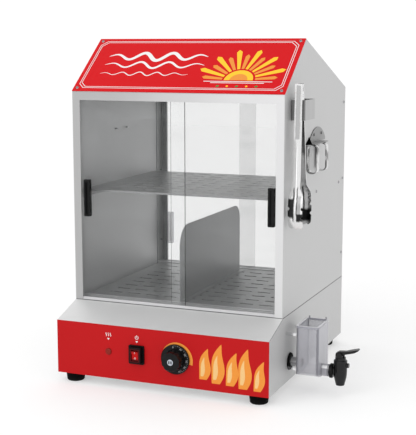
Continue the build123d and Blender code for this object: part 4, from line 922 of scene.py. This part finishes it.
border_inset = 8.0
border_gap = 3.4
border_cut = 11.0
border_w = 1.1
border_inner_cut = border_cut - border_w * math.tan(math.radians(22.5))

borders = []
for inset in (border_inset, border_inset + border_gap):
    outer = cut_corners(half_w - inset, inset, sign_l - inset, border_cut)
    inner = cut_corners(half_w - inset - border_w, inset + border_w, sign_l - inset - border_w,
                        border_inner_cut)
    borders.append([outer, inner])
sign_print("sign_border", borders, "white_ink")


def wave(u0, u1, v, swing, count, samples=90, end_swell=0.35):
    """Route of a wave that swells in its middle."""
    points = []
    for step in range(samples + 1):
        share = step / samples
        swell = end_swell + (1 - end_swell) * math.sin(math.pi * share)
        points.append((u0 + (u1 - u0) * share,
                       v + swing * swell * math.sin(2 * math.pi * count * share)))
    return points


def swelling(widest, narrowest=0.4):
    """A width that is narrow at both ends."""
    return lambda share: narrowest + (widest - narrowest) * math.sin(math.pi * share) ** 0.6


wave_left = -166.0
upper_right, low_right = 34.0, 10.0
# The two upper waves: height on the sign, swing, how many swings, and widest stroke.
upper_sizes = ((98, 11, 3.5, 8.0), (74, 9, 3.5, 5.0))
upper_waves = [[band(wave(wave_left, upper_right, v, swing, count), swelling(width))]
               for v, swing, count, width in upper_sizes]
sign_print("sign_waves", upper_waves, "white_ink")
low_wave = band(wave(wave_left, low_right, v=49, swing=5, count=5), swelling(2.2))
sign_print("sign_low_wave", [[low_wave]], "white_ink")

sun_u, sun_v = 110.0, 34.0
sun_r = 27.0
heart_r = 0.62 * sun_r
ray_count = 13
ray_gap = 4.0
ray_l = {"orange_ink": 44.0, "gold_ink": 59.0}     # how far rays reach beyond the sun
ray_turn = math.radians(4.6)                       # half of what a ray spans at its root
shoulder_r, shoulder_w = 0.93, 0.8                 # where a ray's point begins, as shares


def sun_point(radius, angle):
    """Point of the sign at a distance and angle from the sun's middle."""
    return (sun_u + radius * math.cos(angle), sun_v + radius * math.sin(angle))


rays = {"orange_ink": [], "gold_ink": []}
for number in range(ray_count):
    angle = math.pi * (number + 0.5) / ray_count
    ray_ink = "gold_ink" if number % 2 else "orange_ink"
    reach = sun_r + ray_l[ray_ink]
    flank = [(sun_r + ray_gap, ray_turn), (reach * shoulder_r, ray_turn * shoulder_w)]
    corners = [(radius, -turn) for radius, turn in flank] + [(reach, 0)] + flank[::-1]
    rays[ray_ink].append([[sun_point(radius, angle + turn) for radius, turn in corners]])
for ink_name, shapes in rays.items():
    sign_print("sign_rays_" + ink_name, shapes, ink_name)


def dome(radius, samples=40):
    """Half a disc that stands on the sun's base line."""
    return [sun_point(radius, math.pi * step / samples) for step in range(samples + 1)]


sign_print("sign_sun", [[dome(sun_r)]], "gold_ink")
sign_print("sign_sun_heart", [[dome(heart_r)]], "orange_ink", raised(sign_face, ink_t))
ground_w = 1.6
ground = []
for reach, drop in ((64, 3.4), (50, 7.2)):
    line = [(sun_u + shift, sun_v - drop) for shift in (-reach, 0, reach)]
    ground.append([band(line, ground_w)])
sign_print("sign_ground", ground, "white_ink")
dot_v = 18.0
green_r, gold_r = 3.0, 2.2
green_dots = [[ring(green_r, 24, (sun_u + shift, dot_v), squash=0.7, turn=0.5)] for shift in (-34, 2, 38)]
sign_print("sign_green_dots", green_dots, "green_ink")
gold_dots = [[ring(gold_r, 24, (sun_u + shift, dot_v))] for shift in (-16, 20)]
sign_print("sign_gold_dots", gold_dots, "gold_ink")


# ------------ red panel: prints
def flame(u, v, width, height, lean, samples=26):
    """Tongue of flame: round foot, hollow flank, and a tip that leans to the right."""
    sway, foot, taper = 0.10, 0.16, 0.25
    left, right = [], []
    for step in range(samples + 1):
        share = step / samples
        spine = u + lean * share ** 1.5 + sway * width * math.sin(2 * math.pi * share)
        half = width / 2 * math.sin(math.pi * min(1.0, foot + (1 - foot) * share)) ** 0.8
        half *= 1 - taper * share
        left.append((spine - half, v + height * share))
        right.append((spine + half, v + height * share))
    return left + right[::-1]


# Each flame: its middle, its foot over the panel's edge, its width, its height and its lean.
flame_sizes = [(84, 19, 24, 56, 9), (108, 14, 27, 71, 10), (134, 13, 25, 60, 12), (158, 10, 27, 72, 9),
               (184, 9, 22, 54, 12)]
flame_face = panel_face @ Matrix.Translation((0, panel_low.z, 0))
flames = [[flame(*sizes)] for sizes in flame_sizes]
printed("panel_flames", flames, "orange_ink", flame_face)
core_w, core_h = 0.36, 0.62     # a core's size, as shares of its flame
cores = [[flame(u - 0.08 * width, v + 0.10 * height, core_w * width, core_h * height, 0.5 * lean)]
         for u, v, width, height, lean in flame_sizes]
printed("panel_flame_cores", cores, "pale_orange_ink", raised(flame_face, ink_t))

mark_z = control_z + 23.0
arrow_half, arrow_top, arrow_tip = 2.6, 1.6, 2.0
heat_gap, heat_sway, heat_foot, heat_h = 4.2, 0.8, 5.0, 6.4
heat_steps = 12
heat_w = 1.1
power_z = mark_z + 8.0
power_r = 3.0
power_w = 1.0
power_turns = range(35, 326, 15)
marks = []
for x in (lamp_x, switch_x):
    top = mark_z + arrow_top
    marks.append([[(x - arrow_half, top), (x + arrow_half, top), (x, mark_z - arrow_tip)]])
for shift in (-heat_gap, 0, heat_gap):
    heat_line = []
    for step in range(heat_steps + 1):
        share = step / heat_steps
        heat_line.append((lamp_x + shift + heat_sway * math.sin(2 * math.pi * share),
                          mark_z + heat_foot + heat_h * share))
    marks.append([band(heat_line, heat_w)])
power_arc = [clock_point(switch_x, power_z, power_r, math.radians(turn)) for turn in power_turns]
power_bar = [(switch_x, mark_z + rise) for rise in (7.6, 10, 12.2)]
marks += [[band(power_arc, power_w)], [band(power_bar, power_w)]]
printed("panel_marks", marks, "white_ink", panel_face)


def dial_arc(inner, start, end, first, last, samples=48):
    """Crescent about the dial from one clock angle to another, growing in width."""
    outside, inside = [], []
    for step in range(samples + 1):
        share = step / samples
        turn = math.radians(start + (end - start) * share)
        outside.append(clock_point(knob_x, control_z, first + (last - first) * share ** 0.8, turn))
        inside.append(clock_point(knob_x, control_z, inner, turn))
    return outside + inside[::-1]


crescent = dial_arc(inner=25.0, start=-62, end=105, first=27.6, last=33.0)
printed("dial_arc", [[crescent]], "orange_ink", panel_face)

# ------------ dial numerals, ticks and cap
skirt_t = 5.0
numeral_r = 22.4
numeral_h = 4.6
numeral_turns = {"0": -8, "30": 30, "50": 62, "70": 92, "90": 122, "110": 152}
dial_face = face((knob_x, panel_low.y, control_z), (1, 0, 0), (0, 0, 1))
skirt_face = raised(dial_face, skirt_t)
numerals = []
for words, turn in numeral_turns.items():
    spin = Matrix.Rotation(-math.radians(turn), 4, "Z") @ Matrix.Translation((0, numeral_r, 0))
    numerals.append(text_mesh(words, numeral_h, ink_t, skirt_face @ spin))
piece("dial_numerals", joined(numerals), "dial_ink", "knob")
ticks = grown(spokes, [], "dial_ink", raised(skirt_face, ink_t / 2), Count=19, Start=math.radians(-2),
              Step=math.radians(8), Radius=25.0, Along=1.2, Across=0.45, Thick=ink_t)
piece("dial_ticks", ticks, "dial_ink", "knob")
cap_front = panel_low.y - extent("knob_cap")[0].y
cap_sink = 0.8 * ink_t
cap_face = raised(dial_face, cap_front - cap_sink)
cap_bars = [[bar_outline(u, half_u=1.1, half_v=2.7)] for u in (-2.0, 2.0)]
printed("knob_cap_bars", cap_bars, "black_plastic", cap_face, "knob")


# ------------ rocker's marks
def rocker_face(z):
    """Face on the rocker's own surface at a height."""
    point, normal = landing("switch_rocker", switch_x, z)
    return face(point, (1, 0, 0), normal.cross(Vector((1, 0, 0))))


mark_rise = 5.2
on_mark = bar_outline(0, half_u=0.35, half_v=1.5)
off_mark = [ring(1.5, 32), ring(1.0, 32)]
rocker_marks = [plate_mesh([on_mark], ink_t, rocker_face(control_z + mark_rise)),
                plate_mesh(off_mark, ink_t, rocker_face(control_z - mark_rise))]
piece("rocker_marks", joined(rocker_marks), "white_ink", "rocker")

# ------------ seams of the casing
seam_w = 1.1
thin_seam_w = 0.8
seam_end = 0.6        # seams stop this short of an edge
fold_front = extent("base_shell")[0].y + 1.5
front_seam_z = deck_z + 0.4
front_face = face((0, extent("front_stiles")[0].y, 0), (1, 0, 0), (0, 0, 1))
side_seam = band([(seam_end, deck_z), (cabinet_d - seam_end, deck_z)], seam_w)
fold_seam = band([(fold_front, panel_high.z + 0.5), (0, deck_z - seam_end)], thin_seam_w)
front_seam = band([(-half_w + seam_end, front_seam_z), (half_w - seam_end, front_seam_z)], thin_seam_w)
seams = [plate_mesh([side_seam], ink_t, right_face), plate_mesh([side_seam], ink_t, left_face),
         plate_mesh([fold_seam], ink_t, right_face), plate_mesh([front_seam], ink_t, front_face)]
piece("casing_seams", joined(seams), "dark_line")

# ------------ screw recesses, drawn as dark crosses of painted shade
screw_inset = 8.0
screw_lift = 1.57     # from the wall to the top of a screw's head
back_inset = 12.0
back_heights = (52.5, 206.2, 360.5)
sign_screws = [(side * (half_w - screw_inset), v)
               for side in (-1, 1) for v in (screw_inset, sign_l - screw_inset)]
rows = [(sign_face, sign_screws)]
for wall, back_v in ((right_face, cabinet_d - back_inset), (left_face, back_inset)):
    rows.append((wall, [(back_v, deck_z + height) for height in back_heights]))
recesses = [grown(cross_recesses, points, "dark_line", raised(where, screw_lift)) for where, points in rows]
piece("screw_recesses", joined(recesses), "dark_line")

# ------------ water box's rim and collar's ribs
rim_out = 0.6
rim_in = 3.3
rim_drop = 3.0
rim_rise = 0.4
tab_h = 4.0           # the box's corner tabs over its rim
rim_face = face((0, 0, box_high.z - tab_h - rim_drop), (1, 0, 0), (0, 1, 0))
rim_outline = soft_rectangle(box_low.x - rim_out, box_low.y - rim_out, box_wall_x + rim_out,
                             box_high.y + rim_out, radius=5.6)
mouth_outline = soft_rectangle(box_low.x + rim_in, box_low.y + rim_in, box_wall_x - rim_in,
                               box_high.y - rim_in, radius=2.0)
rim = plate_mesh([rim_outline, mouth_outline], rim_drop + rim_rise, rim_face)
piece("level_box_rim", rim, "rim_plastic")

rib_count = 26
rib_end = 1.3         # plain end of the collar, on each side
collar_face = face(middle("tap_collar"), (0, 1, 0), (0, 0, 1))
ribs = grown(spokes, [], "black_plastic", collar_face, Count=rib_count, Step=2 * math.pi / rib_count,
             Radius=(collar_high.z - collar_low.z) / 2, Along=1.0, Across=1.3,
             Thick=collar_high.x - collar_low.x - 2 * rib_end)
piece("collar_ribs", ribs, "black_plastic")


# ------------ tongs' beads
def arm_bead(across, low, high, width, height, samples=40):
    """Bead pressed in the front arm, from one height over its tip to another."""
    route = []
    for step in range(samples + 1):
        rise = low + (high - low) * step / samples
        point, _ = landing("tongs_arm_left", tongs_x + across, tip_z + rise)
        route.append(point)
    return bead_mesh(route, width, height)


# Each bead: its place across the arm, its lowest and highest point, its width and its height.
bead_sizes = ((-5.6, 76, 246, 1.2, 0.5), (5.6, 76, 246, 1.2, 0.5), (-0.5, 8, 150, 3.4, 0.8))
beads = [arm_bead(*sizes) for sizes in bead_sizes]
piece("tongs_beads", joined(beads), "front_arm_steel", "tongs_left")

# ------------ stage, light and camera
floor_half = 6.0
floor_mesh = bpy.data.meshes.new("floor")
floor_mesh.from_pydata([(-floor_half, -floor_half, 0), (floor_half, -floor_half, 0),
                        (floor_half, floor_half, 0), (-floor_half, floor_half, 0)], [], [(0, 1, 2, 3)])
Finish("pale_floor").shine(Base_Color=grey(0.62), Roughness=0.9, Specular_IOR_Level=0.1,
                           Emission_Color=grey(1.0), Emission_Strength=0.36)
floor_mesh.materials.append(finishes["pale_floor"])
floor = linked("floor", floor_mesh)

room_light = 1.04
world = bpy.data.worlds.new("studio")
world.use_nodes = True
background = world.node_tree.nodes["Background"].inputs
background["Color"].default_value = (1, 1, 1, 1)
background["Strength"].default_value = room_light
bpy.context.scene.world = world


def soft_box(name, place, target, size, power):
    """Square area light that looks at a place of the cabinet."""
    lamp = bpy.data.lights.new(name, "AREA")
    lamp.shape = "SQUARE"
    lamp.size = size
    lamp.energy = power
    made = linked(name, lamp)
    made.location = at(*place)
    made.rotation_euler = (at(*target) - made.location).to_track_quat("-Z", "Y").to_euler()


soft_box("key", (-900, -1700, 1500), (0, 100, 250), size=1.2, power=8)
soft_box("front_fill", (500, -2200, 500), (0, 0, 300), size=1.6, power=5)

# The photograph's own camera, as fitted to the cabinet's corners.
camera_x, camera_y, camera_rise = 778.6, -1755.7, 590.5
camera_dip, camera_turn = 8.912, 22.145
camera_data = bpy.data.cameras.new("camera")
camera_data.lens = 89.6
camera_data.sensor_width = 36.0
camera = linked("camera", camera_data)
camera.location = at(camera_x, camera_y, panel_low.z + camera_rise)
camera.rotation_euler = (math.radians(90 - camera_dip), 0, math.radians(camera_turn))
bpy.context.scene.camera = camera
bpy.context.scene.view_settings.view_transform = "Standard"
